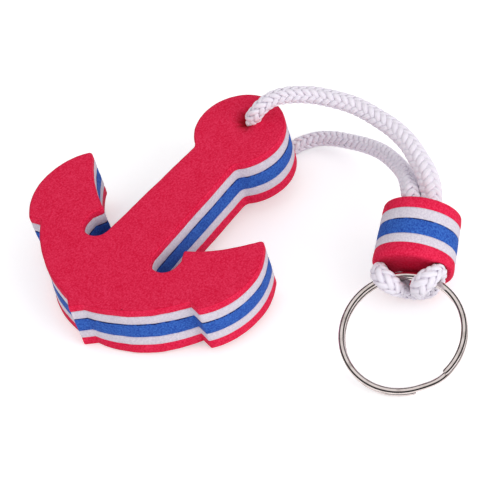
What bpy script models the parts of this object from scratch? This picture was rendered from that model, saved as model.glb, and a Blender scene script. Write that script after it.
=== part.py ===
"""Floating keychain: a laminated foam anchor and a foam bead on one braided cord, hitched to a split ring.

Units are metres. The origin is the middle of the rigid pieces' footprint on the surface they lie on, +Z up.
The anchor lies on its crown with its head held up by the cord. The bead lies on its ring-side rim.
"""

import math

import bmesh
import bpy
import numpy as np
from mathutils import Matrix, Vector

MM = 0.001

# Foam sheet: five sheets glued in a stack, for the anchor and for the bead
SHEET = 2.85 * MM
GLUE_LINE = 0.20 * MM
PITCH = SHEET + GLUE_LINE
STACK = ("red", "white", "blue", "white", "red")
STACK_HEIGHT = len(STACK) * PITCH - GLUE_LINE

# Anchor outline: the crown's point is at the local origin and the shank runs along +Y
HEAD_RADIUS = 11.0 * MM
HEAD_Y = 62.45 * MM
NECK_HALF = 6.15 * MM
SHANK_FOOT_HALF = 7.4 * MM
SLOT_RADIUS = 3.6 * MM
SLOT_Y = 22.4 * MM
SLOT_WALL_RISE = 1.6 * MM
INNER_BARB = (13.0 * MM, 26.8 * MM)
TIP = (27.6 * MM, 38.9 * MM)
OUTER_BARB = (27.3 * MM, 15.1 * MM)
NOTCH = (24.2 * MM, 15.9 * MM)
NIB = (2.6 * MM, 2.1 * MM)
CROWN_BOW = 2.3 * MM
FLUKE_BOW = 5.3 * MM
BLADE_BOW = -1.1 * MM
FLUKE_DRAFT = 0.22 * MM
BLADE_DRAFT = 0.22 * MM
CORNER_ROUND = 0.6 * MM
TIP_ROUND = 1.0 * MM
NECK_ROUND = 2.0 * MM
ARC_STEP = math.radians(12)

# Cord hole through the anchor's head
HOLE_X = 0.9 * MM
HOLE_Y = 66.2 * MM
HOLE_SIDES = 24
HOLE_BEND = 2.1 * MM

# Anchor as it lies: crown on the surface, the head raised by the cord under it
ANCHOR_X = -23.7 * MM
ANCHOR_Y = -35.8 * MM
ANCHOR_TILT = math.radians(4.5)

# Bead: a plug of the same stack, a little wider at the ring end
BEAD_REAR_RADIUS = 9.15 * MM
BEAD_FRONT_RADIUS = 9.55 * MM
BEAD_SIDES = 48
BEAD_X = 33.5 * MM
BEAD_Y = 18.4 * MM
BEAD_YAW = math.radians(25.8)
BEAD_PITCH = math.radians(18.0)

# Split ring: two turns of flattened wire with a step between them
RING_OUTER_RADIUS = 14.9 * MM
WIRE_WIDTH = 1.5 * MM
WIRE_HEIGHT = 1.2 * MM
COIL_GAP = 0.1 * MM
WIRE_CORNER = 0.4 * MM
WIRE_EDGE = math.radians(50.0)
RING_SIDES = 60
STEP_START = math.radians(-67.0)
STEP_END = math.radians(-40.0)
UPPER_END = math.radians(-38.0)
LOWER_END = math.radians(-80.0)

# Cord: one length, both ends meeting in the anchor's hole, hitched to the ring
CORD_DIAMETER = 4.0 * MM
CORD_CLEARANCE = 0.35 * MM
STRAND_SPACING = 4.5 * MM
HITCH_SQUEEZE = 0.82
CORD_TURN = math.radians(25.0)
CORD_LONGEST_STEP = 2.4 * CORD_DIAMETER
CORD_SHORTEST_STEP = CORD_DIAMETER / 4
CORD_FINE_STEPS = 16

# Ring wire at the hitch, seen from the middle of the bead's ring-side face
HITCH_AHEAD = 2.3 * MM
HITCH_RISE = 2.55 * MM
HITCH_SIDE = 1.05 * MM

# Cord from the anchor's top face to the bead, in millimetres: x, y, height
UPPER_STRAND = (
    (-21.4, 29.6, 22.6),
    (-20.3, 31.2, 24.4),
    (-19.2, 33.4, 25.2),
    (-17.6, 35.7, 25.4),
    (-15.1, 38.3, 25.0),
    (-12.0, 40.7, 24.3),
    (-7.4, 43.0, 23.3),
    (-2.3, 44.7, 22.2),
    (3.9, 45.1, 21.0),
    (9.1, 44.8, 20.1),
    (14.3, 43.5, 19.1),
    (18.4, 41.6, 18.1),
    (22.4, 39.4, 17.0),
    (25.5, 36.9, 15.6),
)

# Cord from the bead to the anchor's underside, in millimetres: x, y, height
LOWER_STRAND = (
    (22.2, 33.5, 14.5),
    (19.0, 36.6, 13.6),
    (14.7, 40.1, 12.2),
    (9.4, 43.0, 10.6),
    (3.2, 45.4, 8.8),
    (-2.9, 46.6, 6.8),
    (-8.6, 46.8, 5.1),
    (-13.9, 46.4, 3.7),
    (-18.0, 44.9, 2.8),
    (-20.8, 41.7, 2.4),
    (-22.0, 37.8, 2.35),
    (-22.6, 34.2, 2.5),
)

# Hitch, in millimetres from the ring wire: sideways, towards the bead, up, share of the cord's thickness
RIGHT_OF_HITCH = (
    (1.2, 4.6, -2.65, 0.95),
    (1.3, 2.2, -2.85, HITCH_SQUEEZE),
    (1.3, -0.1, -3.2, HITCH_SQUEEZE),
    (1.35, -2.6, -2.75, HITCH_SQUEEZE),
    (1.5, -4.0, -1.0, HITCH_SQUEEZE),
    (1.8, -4.4, 1.2, 0.9),
    (2.6, -3.6, 3.2, 1.0),
    (3.9, -1.9, 4.0, 1.0),
    (5.3, -0.1, 3.6, 1.0),
    (6.2, 1.2, 2.4, 0.9),
    (6.4, 1.75, 0.4, 0.85),
    (6.1, 1.5, -1.7, HITCH_SQUEEZE),
    (5.0, 0.5, -4.0, HITCH_SQUEEZE),
    (3.5, -0.6, -5.9, HITCH_SQUEEZE),
    (1.4, -1.1, -6.9, HITCH_SQUEEZE),
)
LEFT_OF_HITCH = (
    (-3.8, -1.1, -6.9, HITCH_SQUEEZE),
    (-5.8, -0.6, -5.8, HITCH_SQUEEZE),
    (-7.1, 0.1, -3.9, HITCH_SQUEEZE),
    (-7.8, 0.8, -1.7, HITCH_SQUEEZE),
    (-8.1, 1.0, 0.5, 0.85),
    (-7.9, 0.5, 2.4, 0.95),
    (-7.2, -0.5, 3.7, 1.0),
    (-6.0, -1.8, 4.1, 1.0),
    (-4.5, -3.5, 3.3, 1.0),
    (-3.6, -4.5, 1.3, 0.9),
    (-3.2, -4.3, -0.9, HITCH_SQUEEZE),
    (-3.1, -2.8, -2.75, HITCH_SQUEEZE),
    (-3.2, -0.3, -3.2, HITCH_SQUEEZE),
    (-3.3, 2.2, -2.85, HITCH_SQUEEZE),
    (-3.3, 4.6, -2.65, 0.95),
)


# Helpers for outlines and meshes


def arc(centre, radius, start, end):
    """Points along a round stretch, both ends included."""
    count = max(2, math.ceil(abs(end - start) / ARC_STEP) + 1)
    return [
        (centre[0] + radius * math.cos(a), centre[1] + radius * math.sin(a))
        for a in np.linspace(start, end, count)
    ]


def bowed(start, end, bow):
    """Points along an arc that leaves the straight line to the right of its course by bow."""
    a, b = Vector(start), Vector(end)
    half = (b - a).length / 2
    radius = (half * half + bow * bow) / (2 * bow)
    ahead = (b - a).normalized()
    right = Vector((ahead.y, -ahead.x))
    centre = (a + b) / 2 + right * (bow - radius)
    first, last = a - centre, b - centre
    from_angle = math.atan2(first.y, first.x)
    turn = first.angle_signed(last)
    return arc(centre, abs(radius), from_angle, from_angle - turn)


def rounded(points, corners):
    """The outline with an arc in place of each corner named by its index."""
    out = []
    for i, point in enumerate(points):
        if i not in corners:
            out.append(point)
            continue
        here = Vector(point)
        back = (Vector(points[i - 1]) - here).normalized()
        ahead = (Vector(points[(i + 1) % len(points)]) - here).normalized()
        half = back.angle(ahead) / 2
        centre = here + (back + ahead).normalized() * corners[i] / math.sin(half)
        first = here + back * corners[i] / math.tan(half) - centre
        last = here + ahead * corners[i] / math.tan(half) - centre
        from_angle = math.atan2(first.y, first.x)
        out += arc(centre, corners[i], from_angle, from_angle - first.angle_signed(last))
    return out


def anchor_outline(below):
    """The anchor's closed outline, its flukes a little slimmer for each sheet below the top one."""
    slot = (SHANK_FOOT_HALF + SLOT_RADIUS, SLOT_Y)
    slot_wall = (slot[0] + SLOT_RADIUS, SLOT_Y + SLOT_WALL_RISE)
    neck = (NECK_HALF, HEAD_Y - math.sqrt(HEAD_RADIUS**2 - NECK_HALF**2))
    crown = bowed(NIB, NOTCH, CROWN_BOW)
    fluke = bowed(OUTER_BARB, TIP, FLUKE_BOW - below * FLUKE_DRAFT)
    blade = bowed(TIP, INNER_BARB, BLADE_BOW - below * BLADE_DRAFT)
    throat = [slot_wall] + arc(slot, SLOT_RADIUS, 0.0, -math.pi)
    head = arc((0, HEAD_Y), HEAD_RADIUS, math.atan2(neck[1] - HEAD_Y, neck[0]), math.pi / 2)
    half = crown + fluke + blade[1:] + throat + head[:-1]
    outer_barb = len(crown)
    tip = outer_barb + len(fluke) - 1
    inner_barb = tip + len(blade) - 1
    throat_end = inner_barb + len(throat)
    half = rounded(
        half,
        {
            outer_barb: CORNER_ROUND,
            tip: TIP_ROUND,
            inner_barb: CORNER_ROUND,
            throat_end + 1: NECK_ROUND,
        },
    )
    mirrored = [(-x, y) for x, y in reversed(half)]
    return [(0.0, 0.0)] + half + [(0.0, HEAD_Y + HEAD_RADIUS)] + mirrored


def material(name, colour, roughness, metallic=0.0):
    """A Principled BSDF material of one colour."""
    made = bpy.data.materials.new(name)
    made.use_nodes = True
    shader = made.node_tree.nodes["Principled BSDF"]
    shader.inputs["Base Color"].default_value = (*colour, 1.0)
    shader.inputs["Roughness"].default_value = roughness
    shader.inputs["Metallic"].default_value = metallic
    return made


def linked(name, data, collection):
    """A new object in the collection."""
    made = bpy.data.objects.new(name, data)
    collection.objects.link(made)
    return made


def meshed(curve_object):
    """The curve object made a mesh object of the same name and place, its caps welded to its sides."""
    bpy.context.view_layer.update()
    evaluated = curve_object.evaluated_get(bpy.context.evaluated_depsgraph_get())
    mesh = bpy.data.meshes.new_from_object(evaluated)
    form = bmesh.new()
    form.from_mesh(mesh)
    bmesh.ops.remove_doubles(form, verts=form.verts, dist=1e-7)
    bmesh.ops.recalc_face_normals(form, faces=form.faces)
    form.to_mesh(mesh)
    form.free()
    name, place = curve_object.name, curve_object.matrix_world.copy()
    collection = curve_object.users_collection[0]
    bpy.data.objects.remove(curve_object)
    made = linked(name, mesh, collection)
    made.matrix_world = place
    return made


def cut(target, cutters):
    """Boolean differences, one for each cutter."""
    for cutter in cutters:
        made = target.modifiers.new(cutter.name, "BOOLEAN")
        made.operation = "DIFFERENCE"
        made.solver = "EXACT"
        made.use_self = True
        made.object = cutter


def as_cutter(item):
    """Marks an object as one that only cuts."""
    item.hide_render = True
    item.display_type = "WIRE"
    return item


def outline_plate(name, points, thickness, collection):
    """A flat plate of the closed outline, from z = 0 up to its thickness."""
    curve = bpy.data.curves.new(name, "CURVE")
    curve.dimensions = "2D"
    curve.fill_mode = "BOTH"
    curve.extrude = thickness / 2
    spline = curve.splines.new("POLY")
    spline.points.add(len(points) - 1)
    for point, (x, y) in zip(spline.points, points):
        point.co = (x, y, 0.0, 1.0)
    spline.use_cyclic_u = True
    made = linked(name, curve, collection)
    made.location.z = thickness / 2
    return meshed(made)


def tube(name, points, radii, diameter, collection, extra=0.0):
    """A round tube with capped ends along the points, each with its own share of the thickness."""
    curve = bpy.data.curves.new(name, "CURVE")
    curve.dimensions = "3D"
    curve.bevel_depth = diameter / 2 + extra
    curve.bevel_resolution = 2
    curve.use_fill_caps = True
    spline = curve.splines.new("POLY")
    spline.points.add(len(points) - 1)
    for point, place, share in zip(spline.points, points, radii):
        point.co = (*place, 1.0)
        point.radius = share
    return linked(name, curve, collection)


# Placing frames


def anchor_frame():
    """The anchor's outline frame, its bottom face at z = 0."""
    return (
        Matrix.Translation((ANCHOR_X, ANCHOR_Y, 0.0))
        @ Matrix.Rotation(ANCHOR_TILT, 4, "X")
    )


def bead_frame():
    """The middle of the bead's ring-side face: +Y runs back through the bead, +Z is its upper side."""
    height = BEAD_FRONT_RADIUS * math.cos(BEAD_PITCH)
    return (
        Matrix.Translation((BEAD_X, BEAD_Y, height))
        @ Matrix.Rotation(BEAD_YAW, 4, "Z")
        @ Matrix.Rotation(BEAD_PITCH, 4, "X")
    )


def hitch_frame():
    """The ring wire's middle where the cord is hitched, along the bead's axes."""
    return bead_frame() @ Matrix.Translation((HITCH_SIDE, -HITCH_AHEAD, HITCH_RISE))


def ring_tilt():
    """The slope at which the ring's far side touches the surface."""
    reach = 2 * RING_OUTER_RADIUS - WIRE_WIDTH / 2
    half_stack = WIRE_HEIGHT + COIL_GAP / 2
    height = hitch_frame().translation.z
    return math.asin(height / math.hypot(reach, half_stack)) - math.atan2(half_stack, reach)


def ring_frame():
    """The ring's middle, its wire passing through the hitch at +Y."""
    mean_radius = RING_OUTER_RADIUS - WIRE_WIDTH / 2
    return (
        hitch_frame()
        @ Matrix.Rotation(ring_tilt() - BEAD_PITCH, 4, "X")
        @ Matrix.Translation((0.0, -mean_radius, 0.0))
    )


# Cord route


def smooth(points):
    """A fine curve through the points, by centripetal spans; each point is x, y, z and thickness share."""
    given = [Vector(p) for p in points]
    given = [given[0] * 2 - given[1]] + given + [given[-1] * 2 - given[-2]]
    out = []
    for p0, p1, p2, p3 in zip(given, given[1:], given[2:], given[3:]):
        t1 = (p1 - p0).xyz.length ** 0.5
        t2 = t1 + (p2 - p1).xyz.length ** 0.5
        t3 = t2 + (p3 - p2).xyz.length ** 0.5
        for t in np.linspace(t1, t2, CORD_FINE_STEPS, endpoint=False):
            a1 = p0 * ((t1 - t) / t1) + p1 * (t / t1)
            a2 = p1 * ((t2 - t) / (t2 - t1)) + p2 * ((t - t1) / (t2 - t1))
            a3 = p2 * ((t3 - t) / (t3 - t2)) + p3 * ((t - t2) / (t3 - t2))
            b1 = a1 * ((t2 - t) / t2) + a2 * (t / t2)
            b2 = a2 * ((t3 - t) / (t3 - t1)) + a3 * ((t - t1) / (t3 - t1))
            out.append(b1 * ((t2 - t) / (t2 - t1)) + b2 * ((t - t1) / (t2 - t1)))
    return out + [given[-2]]


def thinned(points):
    """The fine curve's points, kept close where it bends and far apart where it runs straight."""
    kept = [points[0]]
    turned = 0.0
    for before, here, after in zip(points, points[1:], points[2:]):
        turned += (here - before).xyz.angle((after - here).xyz)
        far = (here - kept[-1]).xyz.length
        if far > CORD_SHORTEST_STEP and (turned > CORD_TURN or far > CORD_LONGEST_STEP):
            kept.append(here)
            turned = 0.0
    if (points[-1] - kept[-1]).xyz.length < CORD_SHORTEST_STEP:
        kept.pop()
    return kept + [points[-1]]


def cord_points():
    """The cord's route from the middle of the anchor's hole, round the ring and back."""
    in_anchor, in_bead, at_hitch = anchor_frame(), bead_frame(), hitch_frame()

    def placed(frame, x, y, z, share=1.0):
        return (*(frame @ Vector((x, y, z))), share)

    meet = CORD_CLEARANCE / 2
    middle = STACK_HEIGHT / 2
    up = [placed(in_anchor, HOLE_X, HOLE_Y, h) for h in (middle + meet, middle + 2 * PITCH, STACK_HEIGHT)]
    down = [placed(in_anchor, HOLE_X, HOLE_Y, h) for h in (HOLE_BEND, PITCH, middle - meet)]
    strand = STRAND_SPACING / 2
    bore = (STACK_HEIGHT, STACK_HEIGHT * 0.75, STACK_HEIGHT * 0.5)
    into_bead = [placed(in_bead, strand, y, 0.0) for y in bore]
    out_of_bead = [placed(in_bead, -strand, y, 0.0) for y in reversed(bore)]
    upper = [(x * MM, y * MM, z * MM, 1.0) for x, y, z in UPPER_STRAND]
    lower = [(x * MM, y * MM, z * MM, 1.0) for x, y, z in LOWER_STRAND]
    hitch = [
        placed(at_hitch, x * MM, y * MM, z * MM, share)
        for x, y, z, share in RIGHT_OF_HITCH + LEFT_OF_HITCH
    ]
    return up + upper + into_bead + hitch + out_of_bead + lower + down


# Pieces


def build_anchor(parts, cutters, channel, foam):
    """Five sheets of the anchor's outline, each with the cord's hole."""
    bore = bpy.data.meshes.new("anchor_hole")
    form = bmesh.new()
    bmesh.ops.create_cone(
        form,
        cap_ends=True,
        segments=HOLE_SIDES,
        radius1=CORD_DIAMETER / 2 + CORD_CLEARANCE,
        radius2=CORD_DIAMETER / 2 + CORD_CLEARANCE,
        depth=STACK_HEIGHT * 2,
    )
    form.to_mesh(bore)
    form.free()
    hole = as_cutter(linked("anchor_hole", bore, cutters))
    hole.matrix_world = anchor_frame() @ Matrix.Translation((HOLE_X, HOLE_Y, STACK_HEIGHT / 2))
    names = ("bottom_red", "lower_white", "middle_blue", "upper_white", "top_red")
    for i, (name, colour) in enumerate(zip(names, STACK)):
        outline = anchor_outline(len(STACK) - 1 - i)
        sheet = outline_plate(f"anchor_{name}", outline, SHEET, parts)
        sheet.matrix_world = anchor_frame() @ Matrix.Translation((0, 0, i * PITCH + SHEET / 2))
        sheet.data.materials.append(foam[colour])
        cut(sheet, [hole, channel])


def bead_radius(y):
    """The bead's radius at a distance back from its ring-side face."""
    return BEAD_FRONT_RADIUS + (BEAD_REAR_RADIUS - BEAD_FRONT_RADIUS) * y / STACK_HEIGHT


def build_bead(parts, cutters, channel, foam):
    """Five discs in a row along the bead's axis, each with the oval bore for both strands."""
    slot = CORD_DIAMETER / 2 + CORD_CLEARANCE
    reach = STRAND_SPACING / 2
    oval = arc((reach, 0), slot, -math.pi / 2, math.pi / 2) + arc((-reach, 0), slot, math.pi / 2, 1.5 * math.pi)
    bore = as_cutter(outline_plate("bead_bore", oval, STACK_HEIGHT * 2, cutters))
    along = Matrix.Rotation(-math.pi / 2, 4, "X")
    bore.matrix_world = bead_frame() @ Matrix.Translation((0, STACK_HEIGHT / 2, 0)) @ along
    names = ("front_red", "front_white", "middle_blue", "rear_white", "rear_red")
    for i, (name, colour) in enumerate(zip(names, STACK)):
        start = i * PITCH
        mesh = bpy.data.meshes.new(f"bead_{name}")
        form = bmesh.new()
        bmesh.ops.create_cone(
            form,
            cap_ends=True,
            segments=BEAD_SIDES,
            radius1=bead_radius(start),
            radius2=bead_radius(start + SHEET),
            depth=SHEET,
        )
        form.to_mesh(mesh)
        form.free()
        disc = linked(f"bead_{name}", mesh, parts)
        disc.matrix_world = bead_frame() @ Matrix.Translation((0, start + SHEET / 2, 0)) @ along
        disc.data.materials.append(foam[colour])
        cut(disc, [bore, channel])


def wire_section():
    """The split ring wire's section: flattened, with soft corners."""
    across, up = WIRE_WIDTH / 2, WIRE_HEIGHT / 2
    corners = [(-across, -up), (across, -up), (across, up), (-across, up)]
    out = []
    for i, (x, y) in enumerate(corners):
        centre = (x - math.copysign(WIRE_CORNER, x), y - math.copysign(WIRE_CORNER, y))
        first = math.pi + i * math.pi / 2
        out += [
            (centre[0] + WIRE_CORNER * math.cos(a), centre[1] + WIRE_CORNER * math.sin(a))
            for a in np.linspace(first, first + math.pi / 2, 3)
        ]
    return out


def build_ring(parts, cutters, metal):
    """Two turns of wire: the upper one steps down between its start and the lower one's end."""
    section = bpy.data.curves.new("wire_section", "CURVE")
    section.dimensions = "2D"
    outline = wire_section()
    spline = section.splines.new("POLY")
    spline.points.add(len(outline) - 1)
    for point, (x, y) in zip(spline.points, outline):
        point.co = (x, y, 0.0, 1.0)
    spline.use_cyclic_u = True
    guide = as_cutter(linked("wire_section", section, cutters))

    level = (WIRE_HEIGHT + COIL_GAP) / 2
    start = UPPER_END
    step_start = STEP_START + 2 * math.pi
    step_end = STEP_END + 2 * math.pi
    finish = LOWER_END + 4 * math.pi
    angles = list(np.arange(start, step_start, 2 * math.pi / RING_SIDES))
    angles += list(np.linspace(step_start, step_end, 7))
    angles += list(np.arange(step_end + 2 * math.pi / RING_SIDES, finish, 2 * math.pi / RING_SIDES))
    angles.append(finish)
    mean_radius = RING_OUTER_RADIUS - WIRE_WIDTH / 2
    curve = bpy.data.curves.new("split_ring", "CURVE")
    curve.dimensions = "3D"
    curve.twist_mode = "Z_UP"
    curve.bevel_mode = "OBJECT"
    curve.bevel_object = guide
    curve.use_fill_caps = True
    spline = curve.splines.new("POLY")
    spline.points.add(len(angles) - 1)
    for point, a in zip(spline.points, angles):
        share = min(max((a - step_start) / (step_end - step_start), 0.0), 1.0)
        height = level * math.cos(math.pi * share)
        point.co = (mean_radius * math.cos(a), mean_radius * math.sin(a), height, 1.0)
    ring = linked("split_ring", curve, parts)
    ring.matrix_world = ring_frame()
    ring = meshed(ring)
    ring.data.materials.append(metal)
    ring.data.shade_smooth()
    ring.data.set_sharp_from_angle(angle=WIRE_EDGE)


def build_cord(parts, cutters, white):
    """The cord, and the wider channel that the foam leaves round it."""
    route = thinned(smooth(cord_points()))
    places = [p.xyz for p in route]
    shares = [p.w for p in route]
    cord = tube("cord", places, shares, CORD_DIAMETER, parts)
    cord.data.materials.append(white)
    channel = tube("cord_channel", places, shares, CORD_DIAMETER, cutters, extra=CORD_CLEARANCE)
    return as_cutter(meshed(channel))


def main():
    for item in list(bpy.data.objects):
        bpy.data.objects.remove(item)
    parts = bpy.data.collections.new("floating_keychain")
    cutters = bpy.data.collections.new("cutters")
    for collection in (parts, cutters):
        bpy.context.scene.collection.children.link(collection)
    foam = {
        "red": material("foam_red", (0.64, 0.02, 0.07), 0.75),
        "white": material("foam_white", (0.70, 0.68, 0.74), 0.75),
        "blue": material("foam_blue", (0.03, 0.12, 0.55), 0.75),
    }
    channel = build_cord(parts, cutters, material("cord_white", (0.82, 0.80, 0.84), 0.8))
    build_anchor(parts, cutters, channel, foam)
    build_bead(parts, cutters, channel, foam)
    build_ring(parts, cutters, material("ring_nickel", (0.66, 0.62, 0.58), 0.22, 1.0))


main()
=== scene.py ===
"""Floating keychain: a laminated foam anchor and bead on one braided cord, hitched to a split ring.

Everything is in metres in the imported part's frame: +Z up from the surface, +Y along the anchor's shank.
"""

import logging
import math
from dataclasses import dataclass, field
from enum import Enum
from typing import Callable, Iterable, Sequence

import bmesh
import bpy
import numpy as np
from mathutils import Matrix, Vector
from mathutils.geometry import delaunay_2d_cdt


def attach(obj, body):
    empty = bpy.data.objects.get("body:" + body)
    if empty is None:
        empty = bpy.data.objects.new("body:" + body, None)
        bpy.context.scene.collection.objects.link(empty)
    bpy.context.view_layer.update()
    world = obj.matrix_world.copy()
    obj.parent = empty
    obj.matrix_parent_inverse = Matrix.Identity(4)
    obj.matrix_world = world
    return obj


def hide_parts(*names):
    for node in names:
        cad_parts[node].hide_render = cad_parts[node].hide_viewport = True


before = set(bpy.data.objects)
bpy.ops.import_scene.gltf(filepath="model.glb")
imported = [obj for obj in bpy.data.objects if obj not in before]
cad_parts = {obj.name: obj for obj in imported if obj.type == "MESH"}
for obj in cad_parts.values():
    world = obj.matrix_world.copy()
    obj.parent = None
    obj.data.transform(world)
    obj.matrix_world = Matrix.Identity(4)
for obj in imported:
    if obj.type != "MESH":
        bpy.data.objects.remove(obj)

log = logging.getLogger("keychain")
MM = 0.001
Point = tuple[float, float, float]
Flat = tuple[float, float]
Socket = bpy.types.NodeSocket
Inputs = dict[str | int, object]


class Body(str, Enum):
    """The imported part's two bodies."""

    FLOAT = "float"
    RING = "ring"


class Slot(str, Enum):
    """The record's material slots."""

    RED = "foam_red"
    WHITE = "foam_white"
    BLUE = "foam_blue"
    CORD = "cord_white"
    NICKEL = "ring_nickel"


# Node helpers


class Graph:
    """A node tree that is filled node by node, laid out in rows."""

    row: int = 6
    step: Vector = Vector((220.0, -300.0))

    def __init__(self, tree: bpy.types.NodeTree) -> None:
        """Takes the tree."""
        self.tree = tree

    def add(self, kind: str, inputs: Inputs | None = None, **settings: object) -> bpy.types.Node:
        """Adds a node.

        Args:
            kind: The node's type name.
            inputs: A socket to link or a plain value for each input, by name or number.
            settings: Its own properties by name.

        Returns:
            The new node.
        """
        down, across = divmod(len(self.tree.nodes), self.row)
        made = self.tree.nodes.new(kind)
        made.location = (across * self.step.x, down * self.step.y)
        for name, value in settings.items():
            setattr(made, name, value)
        self.fill(made, inputs or {})
        return made

    def fill(self, owner: bpy.types.Node, inputs: Inputs) -> None:
        """Links each named input of a node, or gives it its plain value.

        Args:
            owner: The node.
            inputs: A socket to link or a plain value for each input; a colour may leave out its alpha.
        """
        for name, value in inputs.items():
            socket = owner.inputs[name]
            if isinstance(value, Socket):
                self.tree.links.new(value, socket)
            else:
                socket.default_value = (*value, 1.0) if socket.type == "RGBA" and len(value) == 3 else value

    def math(self, operation: str, *values: float | Socket, clamp: bool = False) -> Socket:
        """One step of arithmetic on sockets or plain values."""
        inputs = dict(enumerate(values))
        return self.add("ShaderNodeMath", inputs, operation=operation, use_clamp=clamp).outputs[0]

    def between(
        self,
        value: Socket,
        low: float = 0.0,
        high: float = 1.0,
        to_low: float = 0.0,
        to_high: float = 1.0,
        **settings: object,
    ) -> Socket:
        """How far the value lies from low to high, given out from to_low to to_high."""
        limits = {"Value": value, "From Min": low, "From Max": high, "To Min": to_low, "To Max": to_high}
        return self.add("ShaderNodeMapRange", limits, **settings).outputs[0]

    def noise(self, vector: Socket, scale: float | Socket, detail: float, roughness: float = 0.5) -> Socket:
        """Cloudy noise read at a place."""
        inputs = {"Vector": vector, "Scale": scale, "Detail": detail, "Roughness": roughness}
        return self.add("ShaderNodeTexNoise", inputs).outputs["Fac"]

    def mix(self, share: Socket, under: object, over: object) -> Socket:
        """The colour under a mask, with another over it."""
        inputs = {"Factor": share, "A": under, "B": over}
        return self.add("ShaderNodeMix", inputs, data_type="RGBA").outputs["Result"]

    def group(self, tree: bpy.types.NodeTree, inputs: Inputs) -> bpy.types.NodeOutputs:
        """The outputs of a shared group with its own values."""
        return self.add("ShaderNodeGroup", inputs, node_tree=tree).outputs

    def bump(self, height: Socket, strength: float, distance: float) -> Socket:
        """The normal that a height gives."""
        inputs = {"Height": height, "Strength": strength, "Distance": distance}
        return self.add("ShaderNodeBump", inputs).outputs["Normal"]

    def painted(self, name: str) -> Socket:
        """A number that is stored on the mesh."""
        return self.add("ShaderNodeAttribute", attribute_name=name).outputs["Fac"]

    def spot(self) -> Socket:
        """The place on the piece, in metres."""
        return self.add("ShaderNodeTexCoord").outputs["Object"]

    def run(self) -> Socket:
        """The place across and along a yarn or wire."""
        return self.add("ShaderNodeUVMap", uv_map="yarn").outputs["UV"]


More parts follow.
